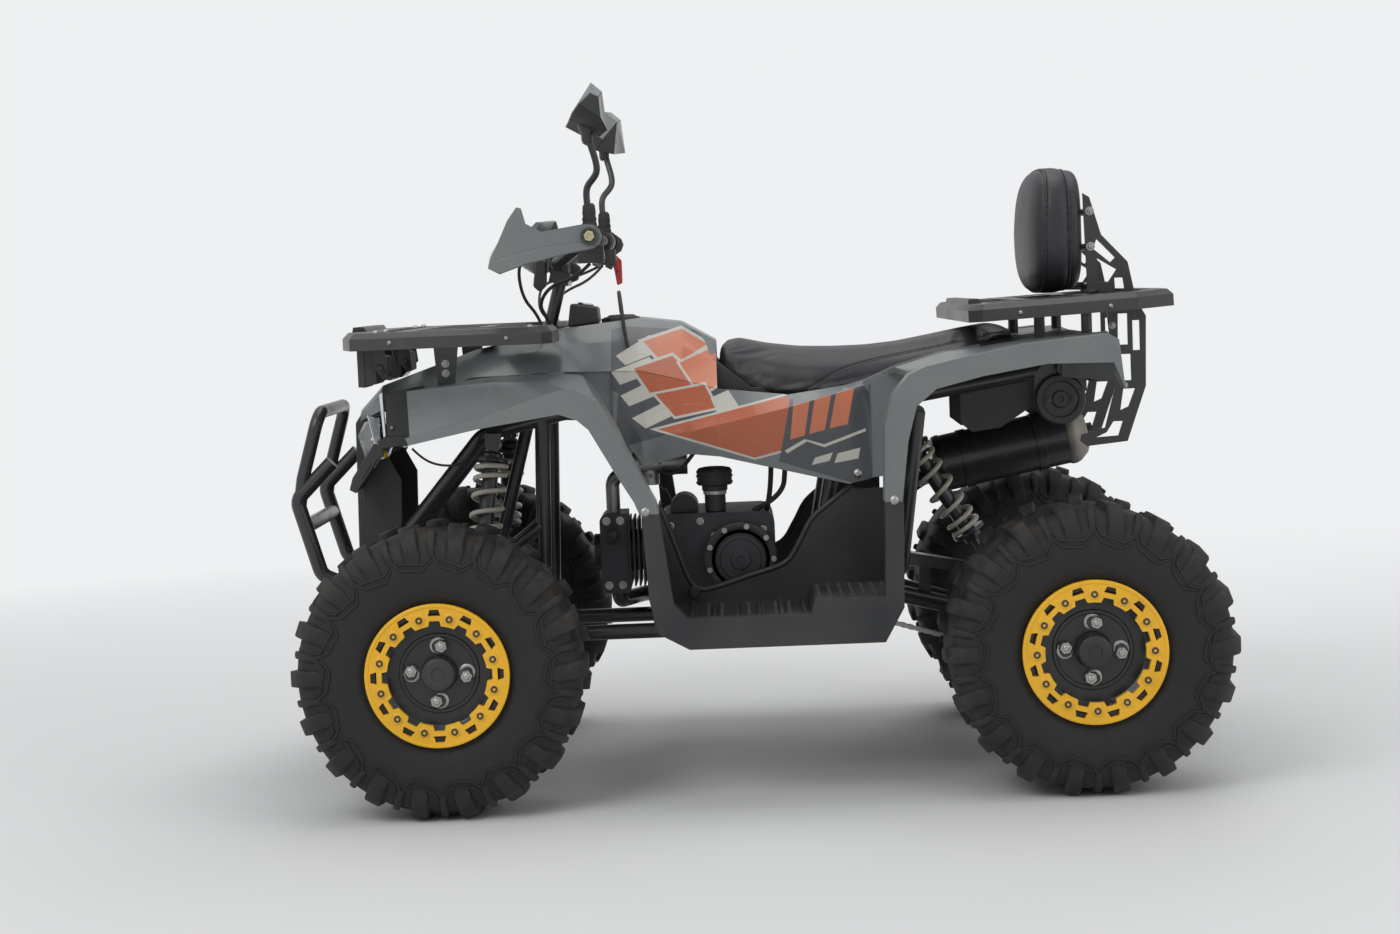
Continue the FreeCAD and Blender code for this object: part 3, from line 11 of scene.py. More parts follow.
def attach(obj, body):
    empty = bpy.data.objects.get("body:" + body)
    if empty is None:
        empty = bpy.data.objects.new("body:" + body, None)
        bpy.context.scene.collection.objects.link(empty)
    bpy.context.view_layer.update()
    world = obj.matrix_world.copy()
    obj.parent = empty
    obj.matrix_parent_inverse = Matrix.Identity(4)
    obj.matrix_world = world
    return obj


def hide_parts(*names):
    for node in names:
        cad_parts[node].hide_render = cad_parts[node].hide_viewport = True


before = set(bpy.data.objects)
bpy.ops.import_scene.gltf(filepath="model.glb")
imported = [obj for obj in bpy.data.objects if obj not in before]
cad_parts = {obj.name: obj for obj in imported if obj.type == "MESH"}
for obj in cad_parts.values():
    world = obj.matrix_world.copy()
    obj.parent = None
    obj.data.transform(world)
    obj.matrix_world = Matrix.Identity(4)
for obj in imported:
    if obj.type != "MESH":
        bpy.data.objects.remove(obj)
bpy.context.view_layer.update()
TURN = 2 * math.pi
SIDES = ((-1, "left"), (1, "right"))
FRONT_AXLE, REAR_AXLE = (-493, 235), (537, 232)


def mm(*values):
    return Vector([v / 1000 for v in values])


# Shader and geometry nodes, written as expressions
class Wire:
    """One output socket. Arithmetic on it adds Math nodes to its tree."""

    def __init__(self, graph, socket):
        self.graph = graph
        self.socket = socket

    def maths(self, operation, *values, clamp=False):
        return self.graph.node("ShaderNodeMath", {"operation": operation, "use_clamp": clamp}, values)

    def __add__(self, other):
        return self.maths("ADD", self, other)

    def __sub__(self, other):
        return self.maths("SUBTRACT", self, other)

    def __rsub__(self, other):
        return self.maths("SUBTRACT", other, self)

    def __mul__(self, other):
        return self.maths("MULTIPLY", self, other)

    def __truediv__(self, other):
        return self.maths("DIVIDE", self, other)

    def __gt__(self, other):
        return self.maths("GREATER_THAN", self, other)

    def __lt__(self, other):
        return self.maths("LESS_THAN", self, other)

    def __abs__(self):
        return self.maths("ABSOLUTE", self)

    __radd__ = __add__
    __rmul__ = __mul__

    def least(self, other):
        return self.maths("MINIMUM", self, other)

    def root(self):
        return self.maths("SQRT", self)

    def sine(self):
        return self.maths("SINE", self)

    def held(self):
        return self.maths("ADD", self, 0.0, clamp=True)


class Graph:
    """A node tree. `node` adds one: first its settings, then its values or links."""

    def __init__(self, tree):
        self.tree = tree

    def node(self, kind, settings=None, values=(), output=0):
        node = self.tree.nodes.new(kind)
        for name, setting in (settings or {}).items():
            setattr(node, name, setting)
        items = values.items() if isinstance(values, dict) else enumerate(values)
        for key, value in items:
            if isinstance(value, Wire):
                self.tree.links.new(value.socket, node.inputs[key])
            else:
                node.inputs[key].default_value = value
        return Wire(self, node.outputs[output])


class Paint(Graph):
    """A finish. Constants go to the shader's own sockets; `finish` links what changes over the surface."""

    def __init__(self, name, constants=None):
        self.material = bpy.data.materials.new(name)
        self.material.use_nodes = True
        super().__init__(self.material.node_tree)
        self.shader = self.tree.nodes["Principled BSDF"]
        self.place = self.node("ShaderNodeTexCoord", output="Object")
        for socket, value in (constants or {}).items():
            self.shader.inputs[socket].default_value = value

    def noise(self, scale, detail=3, roughness=0.5, place=None):
        values = {"Vector": place or self.place, "Scale": scale, "Detail": detail, "Roughness": roughness}
        return self.node("ShaderNodeTexNoise", None, values)

    def cells(self, scale, feature="F1"):
        values = {"Vector": self.place, "Scale": scale}
        return self.node("ShaderNodeTexVoronoi", {"feature": feature}, values)

    def span(self, value, low, high):
        """A mask: 0 at low, 1 at high."""
        return self.node("ShaderNodeMapRange", {"clamp": True}, (value, low, high, 0.0, 1.0))

    def mix(self, factor, first, second):
        """A colour between two."""
        return self.node("ShaderNodeMix", {"data_type": "RGBA"}, {0: factor, 6: first, 7: second}, 2)

    def axes(self):
        """The place's X, Y and Z."""
        part = self.node("ShaderNodeSeparateXYZ", None, (self.place,))
        outputs = part.socket.node.outputs
        return [Wire(self, outputs[i]) for i in range(3)]

    def grown(self, *factors):
        """The place, stretched by one factor an axis."""
        return self.node("ShaderNodeVectorMath", {"operation": "MULTIPLY"}, (self.place, factors))

    def finish(self, colour, roughness, height=None, strength=0.0, depth=0.0):
        """Links colour, roughness and a bump whose depth is in metres. Gives the material."""
        links = {"Base Color": colour, "Roughness": roughness}
        if height is not None:
            values = {"Strength": strength, "Distance": depth, "Height": height}
            links["Normal"] = self.node("ShaderNodeBump", None, values)
        for socket, value in links.items():
            if isinstance(value, Wire):
                self.tree.links.new(value.socket, self.shader.inputs[socket])
            else:
                self.shader.inputs[socket].default_value = value
        return self.material


DRY_DUST = (0.28, 0.26, 0.22, 1)
PRIMER = (0.3, 0.29, 0.28, 1)
SPRING_RUST = (0.16, 0.12, 0.08, 1)
RING_UNDERCOAT = (0.5, 0.42, 0.3, 1)


def shade(colour, factor=1.0):
    return tuple(c * factor for c in colour[:3]) + (1.0,)


def plastic(name, colour, roughness, grain, strength, coat, dust):
    """Moulded plastic: fine grain, soft clouds of dust and scuffed gloss."""
    paint = Paint(name, {"Coat Weight": coat, "Coat Roughness": 0.15, "Specular IOR Level": 0.5})
    cloud = paint.span(paint.noise(7, 4), 0.35, 0.7)
    scuff = paint.span(paint.noise(60, 5, 0.7, paint.grown(1, 1, 3)), 0.52, 0.72)
    dusty = paint.mix(cloud * dust, shade(colour), DRY_DUST)
    marked = paint.mix(scuff * 0.18, dusty, shade(colour, 1.7))
    rough = roughness + cloud * 0.12 + scuff * 0.1
    pebble = paint.cells(grain) * 0.6 + paint.noise(grain * 0.7, 2) * 0.4
    return paint.finish(marked, rough, pebble, strength, 0.0003)


def enamel(name, colour, roughness, coat, wear, under=PRIMER):
    """Painted or powder-coated steel with a light orange peel and small chips."""
    paint = Paint(name, {"Coat Weight": coat, "Coat Roughness": 0.12})
    peel = paint.noise(420, 2)
    chip = paint.span(paint.noise(38, 8, 0.75), 0.66, 0.7) * wear
    grime = paint.span(paint.noise(9, 5), 0.45, 0.75)
    base = paint.mix(grime * 0.3, shade(colour), shade(colour, 0.55))
    tone = paint.mix(chip, base, under)
    return paint.finish(tone, roughness + grime * 0.15 + chip * 0.2, peel, 0.09, 0.0006)


def bare_metal(name, colour, roughness, brushed=(1, 60, 1)):
    """Metal with stains and fine lines across its `brushed` axis."""
    paint = Paint(name, {"Metallic": 1.0})
    lines = paint.noise(22, 3, 0.6, paint.grown(*brushed))
    stain = paint.span(paint.noise(24, 6, 0.7), 0.5, 0.78)
    tone = paint.mix(stain * 0.5, shade(colour), shade(colour, 0.45))
    return paint.finish(tone, roughness + lines * 0.12 + stain * 0.2, lines, 0.08, 0.0004)


def wheel_radius(paint):
    """Distance from the nearer axle, in millimetres."""
    x, y, z = paint.axes()
    rear = x > 0.02
    dx = x * 1000 - FRONT_AXLE[0] - rear * (REAR_AXLE[0] - FRONT_AXLE[0])
    dz = z * 1000 - FRONT_AXLE[1]
    return (dx * dx + dz * dz).root()


def tyre_rubber():
    """Black rubber, browned on the tread, with fine moulded circles on the sidewall."""
    paint = Paint("tyre_rubber", {"Specular IOR Level": 0.35})
    radius = wheel_radius(paint)
    tread = paint.span(radius, 196, 226)
    dust = paint.span(paint.noise(26, 6, 0.65), 0.38, 0.68)
    base = paint.mix(paint.noise(5, 3), (0.012, 0.012, 0.013, 1), (0.022, 0.022, 0.024, 1))
    dusty = paint.mix((tread * 0.55 + 0.12) * dust, base, (0.085, 0.074, 0.06, 1))
    ridges = (radius * 1.4).sine()
    inside = paint.span(radius, 162, 158) * paint.span(radius, 118, 122)
    height = ridges * inside * 0.3 + paint.noise(700, 3) * 0.5 + paint.noise(120, 4) * 0.5
    return paint.finish(dusty, 0.62 + dust * 0.25, height, 0.35, 0.0006)


def vinyl(name, colour):
    """Seat cover: pebbled grain, a soft sheen and faint creases."""
    paint = Paint(name, {"Specular IOR Level": 0.45, "Coat Weight": 0.12, "Coat Roughness": 0.4})
    pebble = paint.span(paint.cells(620, "SMOOTH_F1"), 0.0, 0.75)
    fold = paint.noise(26, 4, 0.55, paint.grown(1, 0.5, 2))
    wear = paint.span(paint.noise(9, 4), 0.4, 0.75)
    tone = paint.mix(wear * 0.5, shade(colour), shade(colour, 1.8))
    height = pebble * 0.5 + fold * 1.2
    return paint.finish(tone, 0.42 + wear * 0.14 + pebble * 0.06, height, 0.3, 0.0007)


def cast_metal(name, colour, roughness=0.55, metal=0.6):
    """Sand-cast metal, darkened by oil in patches."""
    paint = Paint(name, {"Metallic": metal})
    sand = paint.noise(520, 4, 0.7)
    oil = paint.span(paint.noise(14, 6, 0.65), 0.45, 0.7)
    tone = paint.mix(oil * 0.6, shade(colour), shade(colour, 0.4))
    return paint.finish(tone, roughness - oil * 0.15 + sand * 0.1, sand, 0.45, 0.0006)


def lens(name, colour, clear):
    """Clear or tinted plastic with upright flutes."""
    paint = Paint(name, {"Transmission Weight": clear, "IOR": 1.49, "Coat Weight": 0.3})
    haze = paint.span(paint.noise(18, 5), 0.4, 0.8)
    flute = (paint.axes()[1] * 900).sine()
    tone = paint.mix(haze * 0.2, colour, shade(colour, 0.75))
    return paint.finish(tone, 0.05 + haze * 0.12, flute, 0.15, 0.0004)


GREY = (0.135, 0.15, 0.155)
DARK_PANEL = (0.052, 0.058, 0.066, 1)
EMBER = (0.42, 0.095, 0.035, 1)
EMBER_LIGHT = (0.56, 0.16, 0.07, 1)
BONE = (0.5, 0.49, 0.44, 1)


DECAL_BLUR = 0.0009
DECAL_SHAPES = [
    # colour, width of the pale outline in metres, then corners clockwise from the left side
    (DARK_PANEL, 0, [(-330, 738), (-190, 764), (-120, 640), (-214, 596), (-214, 660), (-300, 706)]),
    (DARK_PANEL, 0, [(-190, 764), (-60, 752), (-10, 660), (-60, 600), (-214, 560)]),
    (BONE, 0, [(-206, 716), (-150, 748), (-128, 722), (-190, 700)]),
    (BONE, 0, [(-214, 690), (-150, 712), (-132, 690), (-200, 668)]),
    (BONE, 0, [(-200, 650), (-140, 676), (-118, 656), (-186, 632)]),
    (BONE, 0, [(-182, 612), (-120, 640), (-94, 622), (-160, 594)]),
    (EMBER_LIGHT, 0.005, [(-160, 738), (-96, 756), (-52, 728), (-120, 692)]),
    (EMBER, 0.005, [(-176, 694), (-112, 712), (-60, 664), (-150, 652)]),
    (EMBER_LIGHT, 0.004, [(-100, 700), (-44, 722), (-24, 668), (-66, 646)]),
    (EMBER, 0.004, [(-142, 650), (-60, 662), (-40, 624), (-110, 612)]),
    (BONE, 0, [(-50, 640), (-20, 652), (-2, 622), (-36, 606)]),
    (EMBER, 0.0035, [(-140, 592), (84, 640), (72, 550), (20, 538)]),
    (DARK_PANEL, 0, [(84, 640), (196, 660), (214, 640), (214, 496), (186, 488), (60, 530)]),
    (EMBER_LIGHT, 0, [(88, 632), (116, 638), (104, 572), (80, 566)]),
    (EMBER_LIGHT, 0, [(124, 640), (152, 645), (138, 580), (112, 574)]),
    (EMBER_LIGHT, 0, [(160, 647), (190, 652), (176, 588), (146, 582)]),
    (BONE, 0, [(70, 548), (104, 566), (108, 562), (74, 543)]),
    (BONE, 0, [(104, 566), (136, 556), (136, 551), (108, 562)]),
    (BONE, 0, [(136, 556), (206, 580), (206, 575), (136, 551)]),
    (BONE, 0, [(120, 534), (150, 542), (144, 528), (114, 522)]),
    (BONE, 0, [(158, 540), (196, 548), (192, 530), (152, 524)]),
]


def decal(paint, corners, grow=0):
    """Mask of a convex outline in X and Z, `grow` metres larger all round: the overlap of half-planes."""
    inside = None
    corners = [(x / 1000, z / 1000) for x, z in corners]
    for (ax, az), (bx, bz) in zip(corners, corners[1:] + corners[:1]):
        run = math.hypot(bx - ax, bz - az)
        normal = ((bz - az) / run, 0, -(bx - ax) / run)
        away = paint.node("ShaderNodeVectorMath", {"operation": "DOT_PRODUCT"}, (paint.place, normal), 1)
        depth = away - (ax * normal[0] + az * normal[2])
        inside = depth if inside is None else inside.least(depth)
    return paint.span(inside, -grow - DECAL_BLUR / 2, -grow + DECAL_BLUR / 2)


def livery():
    """Grey panels with angular shards of ember and bone colour on their sides."""
    paint = Paint("panel_grey_livery", {"Coat Weight": 0.35, "Coat Roughness": 0.12})
    normal = paint.node("ShaderNodeNewGeometry", output="Normal")
    facing = paint.node("ShaderNodeSeparateXYZ", None, (normal,))
    sideways = abs(Wire(paint, facing.socket.node.outputs[1])) > 0.5
    cloud = paint.span(paint.noise(7, 4), 0.35, 0.75)
    colour = paint.mix(cloud * 0.3, shade(GREY), (0.2, 0.195, 0.18, 1))
    scratch = paint.span(paint.noise(30, 7, 0.72, paint.grown(1, 1, 7)), 0.6, 0.68)
    worn = 1 - scratch * 0.35
    for tone, outline, corners in DECAL_SHAPES:
        if outline:
            colour = paint.mix(decal(paint, corners, outline) * sideways * worn, colour, BONE)
        colour = paint.mix(decal(paint, corners) * sideways * worn, colour, tone)
    speck = paint.cells(260)
    halftone = (speck < 0.24) * paint.span(paint.noise(16, 2), 0.5, 0.62) * 0.3
    colour = paint.mix(halftone * sideways, colour, (0.09, 0.08, 0.08, 1))
    return paint.finish(colour, 0.32 + cloud * 0.14 + scratch * 0.15, paint.noise(380, 3), 0.07, 0.0005)


FINISHES = {
    "tyre": tyre_rubber(),
    "livery": livery(),
    "grey_plastic": plastic("moulded_grey_panel", GREY, 0.38, 600, 0.05, 0.2, 0.22),
    "black_plastic": plastic("grained_black_plastic", (0.014, 0.015, 0.017), 0.46, 900, 0.3, 0.0, 0.1),
    "rack_plastic": plastic("satin_rack_plastic", (0.02, 0.021, 0.025), 0.34, 700, 0.16, 0.1, 0.1),
    "rim": enamel("black_wheel_coating", (0.016, 0.016, 0.018), 0.42, 0.2, 0.25),
    "bead_ring": enamel("amber_ring_coating", (0.86, 0.46, 0.004), 0.36, 0.3, 0.12, RING_UNDERCOAT),
    "black_steel": enamel("black_powder_coat", (0.02, 0.021, 0.023), 0.36, 0.3, 0.25),
    "bare_steel": bare_metal("zinc_plated_steel", (0.4, 0.395, 0.38), 0.34),
    "chrome": bare_metal("polished_trim", (0.72, 0.73, 0.75), 0.12, (1, 1, 12)),
    "brass": bare_metal("brass_end_cap", (0.5, 0.44, 0.28), 0.36),
    "cast_alloy": cast_metal("dark_cast_alloy", (0.06, 0.062, 0.066)),
    "light_alloy": cast_metal("machined_cast_alloy", (0.3, 0.3, 0.3), 0.4, 0.9),
    "spring": enamel("cream_spring_enamel", (0.5, 0.47, 0.39), 0.38, 0.4, 0.5, SPRING_RUST),
    "rubber": plastic("soft_black_rubber", (0.016, 0.016, 0.017), 0.68, 1200, 0.3, 0.0, 0.14),
    "leather": vinyl("seat_vinyl", (0.016, 0.016, 0.019)),
    "thread": plastic("black_thread", (0.03, 0.03, 0.033), 0.7, 3000, 0.5, 0.0, 0.1),
    "glass": lens("clear_lens", (0.86, 0.88, 0.9, 1), 0.85),
    "red_glass": lens("red_lens", (0.4, 0.01, 0.012, 1), 0.2),
    "reflector": bare_metal("lamp_reflector", (0.75, 0.76, 0.78), 0.14, (1, 1, 1)),
    "mirror": bare_metal("mirror_glass", (0.12, 0.13, 0.14), 0.12, (1, 1, 1)),
    "red_plastic": plastic("red_lever_plastic", (0.55, 0.016, 0.02), 0.3, 700, 0.06, 0.3, 0.1),
    "grey_cap": cast_metal("end_cap_alloy", (0.26, 0.24, 0.21), 0.5, 0.8),
}


# Mesh building
SMOOTH = 35


def made(name, bm, smooth=SMOOTH):
    """An object of a bmesh. Edges sharper than `smooth` degrees stay sharp."""
    mesh = bpy.data.meshes.new(name)
    bm.to_mesh(mesh)
    bm.free()
    piece = bpy.data.objects.new(name, mesh)
    bpy.context.scene.collection.objects.link(piece)
    mesh.shade_smooth()
    mesh.set_sharp_from_angle(angle=math.radians(smooth))
    return piece


def skin(name, rings, loop=False, smooth=SMOOTH):
    """One closed surface through rings of points in metres, with end caps or run round in a loop."""
    bm = bmesh.new()
    rows = [[bm.verts.new(p) for p in ring] for ring in rings]
    spans = list(zip(rows, rows[1:])) + ([(rows[-1], rows[0])] if loop else [])
    count = len(rows[0])
    for here, after in spans:
        for i in range(count):
            j = (i + 1) % count
            bm.faces.new((here[i], here[j], after[j], after[i]))
    if not loop:
        bm.faces.new(list(reversed(rows[0])))
        bm.faces.new(rows[-1])
    bmesh.ops.recalc_face_normals(bm, faces=bm.faces)
    return made(name, bm, smooth)


def prism(name, corners, y_from, y_to):
    """A plate whose outline is in X and Z."""
    return skin(name, [[mm(x, y, z) for x, z in corners] for y in (y_from, y_to)])


def brick(name, low, high, taper=0):
    """A box between two corners, its top drawn in by the taper."""
    (x0, y0, z0), (x1, y1, z1) = low, high
    rings = []
    for z, t in ((z0, 0), (z1, taper)):
        corners = ((x0 + t, y0 + t), (x1 - t, y0 + t), (x1 - t, y1 - t), (x0 + t, y1 - t))
        rings.append([mm(x, y, z) for x, y in corners])
    return skin(name, rings)


def turned(name, start, way, profile, sides=32):
    """A lathe shape along `way`: profile is (distance from start, radius) pairs, all in millimetres."""
    start, way = mm(*start), Vector(way).normalized()
    side = way.orthogonal().normalized()
    other = way.cross(side)
    rings = []
    for along, radius in profile:
        radius = max(radius, 0.05)
        ring = []
        for i in range(sides):
            out = side * math.cos(TURN * i / sides) + other * math.sin(TURN * i / sides)
            ring.append(start + way * (along / 1000) + out * (radius / 1000))
        rings.append(ring)
    return skin(name, rings)


def flow(points, steps):
    """Points of a smooth line through the given ones, so many steps to a span."""
    points = [Vector(p) for p in points]
    ends = [points[0] * 2 - points[1]] + points + [points[-1] * 2 - points[-2]]
    line = []
    for a, b, c, d in zip(ends, ends[1:], ends[2:], ends[3:]):
        for i in range(steps):
            t = i / steps
            square = (2 * a - 5 * b + 4 * c - d) * t ** 2
            cube = (3 * b - a - 3 * c + d) * t ** 3
            line.append(0.5 * (2 * b + (c - a) * t + square + cube))
    return line + [points[-1]]


def tube(name, path, radius, sides):
    """A round rod along path, a list of points in metres."""
    path = [Vector(p) for p in path]
    frame_side = (path[1] - path[0]).orthogonal().normalized()
    rings = []
    for i, point in enumerate(path):
        way = (path[min(i + 1, len(path) - 1)] - path[max(i - 1, 0)]).normalized()
        frame_side = (frame_side - way * frame_side.dot(way)).normalized()
        other = way.cross(frame_side)
        ring = []
        for k in range(sides):
            out = frame_side * math.cos(TURN * k / sides) + other * math.sin(TURN * k / sides)
            ring.append(point + out * (radius / 1000))
        rings.append(ring)
    return skin(name, rings, smooth=60)


def shifted(piece, place):
    """Moves the piece's mesh by millimetres."""
    for vert in piece.data.vertices:
        vert.co += mm(*place)
    return piece


def faced_outwards(piece):
    """Recalculates the normals of a closed piece."""
    bm = bmesh.new()
    bm.from_mesh(piece.data)
    bmesh.ops.recalc_face_normals(bm, faces=bm.faces)
    bm.to_mesh(piece.data)
    bm.free()
    return piece


def joined(name, pieces, smooth=SMOOTH):
    """One object of several. Points keep their places."""
    bm = bmesh.new()
    for piece in pieces:
        bm.from_mesh(piece.data)
        bpy.data.objects.remove(piece)
    return made(name, bm, smooth)


def bevelled(piece, width, segments=2, angle=30):
    """Rounds the edges sharper than `angle` by a live modifier."""
    bevel = piece.modifiers.new("soft_edges", "BEVEL")
    bevel.width = width / 1000
    bevel.segments = segments
    bevel.limit_method = "ANGLE"
    bevel.angle_limit = math.radians(angle)
    bevel.harden_normals = True
    return piece


def baked(piece):
    """Turns the piece's live modifiers into its plain mesh."""
    depsgraph = bpy.context.evaluated_depsgraph_get()
    mesh = bpy.data.meshes.new_from_object(piece.evaluated_get(depsgraph), depsgraph=depsgraph)
    piece.modifiers.clear()
    piece.data = mesh
    return piece


def dressed(piece, finish, body="chassis", nodes=()):
    """Gives a piece its finish and body, and hides the nodes it stands for."""
    piece.data.materials.clear()
    piece.data.materials.append(FINISHES[finish])
    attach(piece, body)
    if nodes:
        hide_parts(*nodes)


def mirrored(piece, name):
    """A copy across the bike's middle plane."""
    bm = bmesh.new()
    bm.from_mesh(piece.data)
    bmesh.ops.scale(bm, vec=(1, -1, 1), verts=bm.verts)
    bmesh.ops.reverse_faces(bm, faces=bm.faces)
    return made(name, bm)


def both(name, piece, finish, bevel=0):
    """Dresses a chassis piece of the left side and its mirror image."""
    far = mirrored(piece, name + "_right")
    piece.name = name + "_left"
    for thing in (piece, far):
        if bevel:
            bevelled(thing, bevel)
        dressed(thing, finish)


def pair_of(name, piece, finish, body="chassis", nodes=(), bevel=0):
    """One piece made of the left side's and its mirror image."""
    whole = joined(name, [mirrored(piece, name), piece])
    if bevel:
        bevelled(whole, bevel)
    dressed(whole, finish, body, nodes)


def refined(node, finish, body, width, segments=2):
    """A copy of a CAD node with merged faces and soft edges, standing for it."""
    bm = bmesh.new()
    bm.from_mesh(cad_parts[node].data)
    bmesh.ops.remove_doubles(bm, verts=bm.verts, dist=0.00002)
    bmesh.ops.dissolve_limit(bm, angle_limit=math.radians(0.6), verts=bm.verts, edges=bm.edges)
    piece = bevelled(made(node + "_moulded", bm, 30), width, segments)
    piece.modifiers["soft_edges"].use_clamp_overlap = True
    dressed(piece, finish, body, [node])


# Geometry node trees for what repeats
def group_start(name, inputs):
    """Starts a node group whose result is a geometry. Gives its graph and the wires of its inputs."""
    tree = bpy.data.node_groups.new(name, "GeometryNodeTree")
    for label, kind in inputs.items():
        tree.interface.new_socket(label, in_out="INPUT", socket_type="NodeSocket" + kind)
    tree.interface.new_socket("Geometry", in_out="OUTPUT", socket_type="NodeSocketGeometry")
    graph = Graph(tree)
    given = tree.nodes.new("NodeGroupInput")
    return graph, [Wire(graph, given.outputs[i]) for i in range(len(inputs))]


def group_end(graph, copies, finish):
    """Turns the copies into one mesh with its finish and ends the group."""
    plain = graph.node("GeometryNodeRealizeInstances", None, (copies,))
    painted = graph.node("GeometryNodeSetMaterial", None, {"Geometry": plain, "Material": finish})
    out = graph.tree.nodes.new("NodeGroupOutput")
    graph.tree.links.new(painted.socket, out.inputs[0])
    return graph.tree


def ring_tree():
    """Copies the piece round the Y axis and moves the ring to its place."""
    inputs = {"Geometry": "Geometry", "Count": "Int", "Phase": "Float", "Centre": "Vector",
              "Finish": "Material"}
    graph, (unit, count, phase, centre, finish) = group_start("round_the_axle", inputs)
    spots = graph.node("GeometryNodeMeshLine", {"mode": "OFFSET"}, {"Count": count, "Offset": (0, 0, 0)})
    angle = (graph.node("GeometryNodeInputIndex") + phase) * TURN / count
    turn = graph.node("ShaderNodeCombineXYZ", None, (0, angle, 0))
    values = {"Points": spots, "Instance": unit, "Rotation": turn}
    copies = graph.node("GeometryNodeInstanceOnPoints", None, values)
    moved = graph.node("GeometryNodeTransform", None, {"Geometry": copies, "Translation": centre})
    return group_end(graph, moved, finish)


def scatter_tree():
    """Puts a copy of the unit on every point of the piece, turned by the angles kept at the point."""
    inputs = {"Geometry": "Geometry", "Unit": "Object", "Finish": "Material"}
    graph, (spots, unit, finish) = group_start("unit_on_points", inputs)
    shape = graph.node("GeometryNodeObjectInfo", None, {"Object": unit}, "Geometry")
    kept = {"data_type": "FLOAT_VECTOR"}
    turn = graph.node("GeometryNodeInputNamedAttribute", kept, {"Name": "turn"}, "Attribute")
    values = {"Points": spots, "Instance": shape, "Rotation": turn}
    copies = graph.node("GeometryNodeInstanceOnPoints", None, values)
    return group_end(graph, copies, finish)


RING, SCATTER = ring_tree(), scatter_tree()


def grown_by(tree, piece, values):
    """Runs a node group with these values on the piece and keeps its result as a plain mesh."""
    modifier = piece.modifiers.new("copies", "NODES")
    modifier.node_group = tree
    for item in tree.interface.items_tree:
        if item.in_out == "INPUT" and item.name in values:
            modifier[item.identifier] = values[item.name]
    return baked(piece)


def ringed(unit, count, phase, centre, finish):
    """Copies, round the Y axis, of a unit at twelve o'clock. The phase is a share of one pitch."""
    values = {"Count": count, "Phase": float(phase), "Centre": mm(*centre), "Finish": FINISHES[finish]}
    return grown_by(RING, unit, values)


def scattered(name, unit, spots, finish):
    """Copies of a unit, whose run is X and whose top is Z, at (place in millimetres, way, up) spots."""
    mesh = bpy.data.meshes.new(name)
    mesh.from_pydata([mm(*place) for place, way, up in spots], [], [])
    turns = mesh.attributes.new("turn", "FLOAT_VECTOR", "POINT")
    for item, (place, way, up) in zip(turns.data, spots):
        up = Vector(up).normalized()
        way = Vector(way)
        way = (way - up * way.dot(up)).normalized()
        item.vector = Matrix((way, up.cross(way), up)).transposed().to_euler()
    piece = bpy.data.objects.new(name, mesh)
    bpy.context.scene.collection.objects.link(piece)
    grown_by(SCATTER, piece, {"Unit": unit, "Finish": FINISHES[finish]})
    bpy.data.objects.remove(unit)
    piece.data.shade_smooth()
    piece.data.set_sharp_from_angle(angle=math.radians(SMOOTH))
    return piece


# Screws and bolts, each standing up from its seat
AHEAD, LEFTWARDS, UPWARDS = (-1, 0, 0), (0, -1, 0), (0, 0, 1)


def button_head(size):
    """A domed head of that radius with its socket."""
    profile = [(-0.5, size), (1.2, size), (3.4, size * 0.75), (4.4, size * 0.42), (4.4, size * 0.38),
               (2.4, size * 0.34)]
    return turned("head", (0, 0, 0), UPWARDS, profile, 20)


def hex_bolt(size):
    """A washer, a six-sided head of that radius and the end of the stud."""
    washer = [(-0.5, size * 1.3), (size * 0.2, size * 1.3), (size * 0.24, size)]
    head = [(0, size), (size * 0.78, size), (size * 0.98, size * 0.84), (size * 0.98, size * 0.5),
            (size * 0.9, size * 0.44)]
    stud = [(0, size * 0.4), (size * 0.5, size * 0.4), (size * 0.6, size * 0.3)]
    pieces = [turned("washer", (0, 0, 0), UPWARDS, washer, 20),
              turned("head", (0, 0, 0.2 * size), UPWARDS, head, 6),
              turned("stud", (0, 0, size), UPWARDS, stud, 12)]
    return joined("bolt", pieces)


def on_both(spots):
    """Spots of the left side with their mirror images."""
    far = [((x, -y, z), (a, -b, c), (d, -e, f)) for (x, y, z), (a, b, c), (d, e, f) in spots]
    return spots + far


def fastened(name, unit, finish, up, places, body="chassis", mirror=True):
    """Screws of one kind that face the same way."""
    spots = [(place, (1, 0, 0), up) for place in places]
    dressed(scattered(name, unit, on_both(spots) if mirror else spots, finish), finish, body)


# Tyres
TREAD_DEPTH = 11
LUG_PITCHES = 18
LATHE_STEPS = 96
TYRES = {
    # end: axle, centre y, radius, half width, how far from the middle a lug starts
    "front": (FRONT_AXLE, 375, 235, 89, 11),
    "rear": (REAR_AXLE, 347, 232, 117.5, 13.5),
}


def carcass(radius, half):
    """(y, radius) pairs of the tyre from bead to bead and back inside, and those of one sidewall."""
    tread = radius - TREAD_DEPTH
    side = [(half - 18, 101), (half - 17.8, 112), (half - 12, 120), (half - 6.5, 130), (half - 2.5, 145),
            (half - 0.8, 160), (half - 0.5, 174), (half - 3, 188), (half - 9, 202), (half - 18, 214),
            (half - 30, tread - 1), (half - 50, tread + 1)]
    outside = side + [(0, tread + 2)] + [(-y, r) for y, r in reversed(side)]
    inside = [(-(half - 26), 104), (-(half - 14), 130), (-(half - 10), 175), (-(half - 34), 208),
              (0, tread - 8), (half - 34, 208), (half - 10, 175), (half - 14, 130), (half - 26, 104)]
    return outside + inside, side


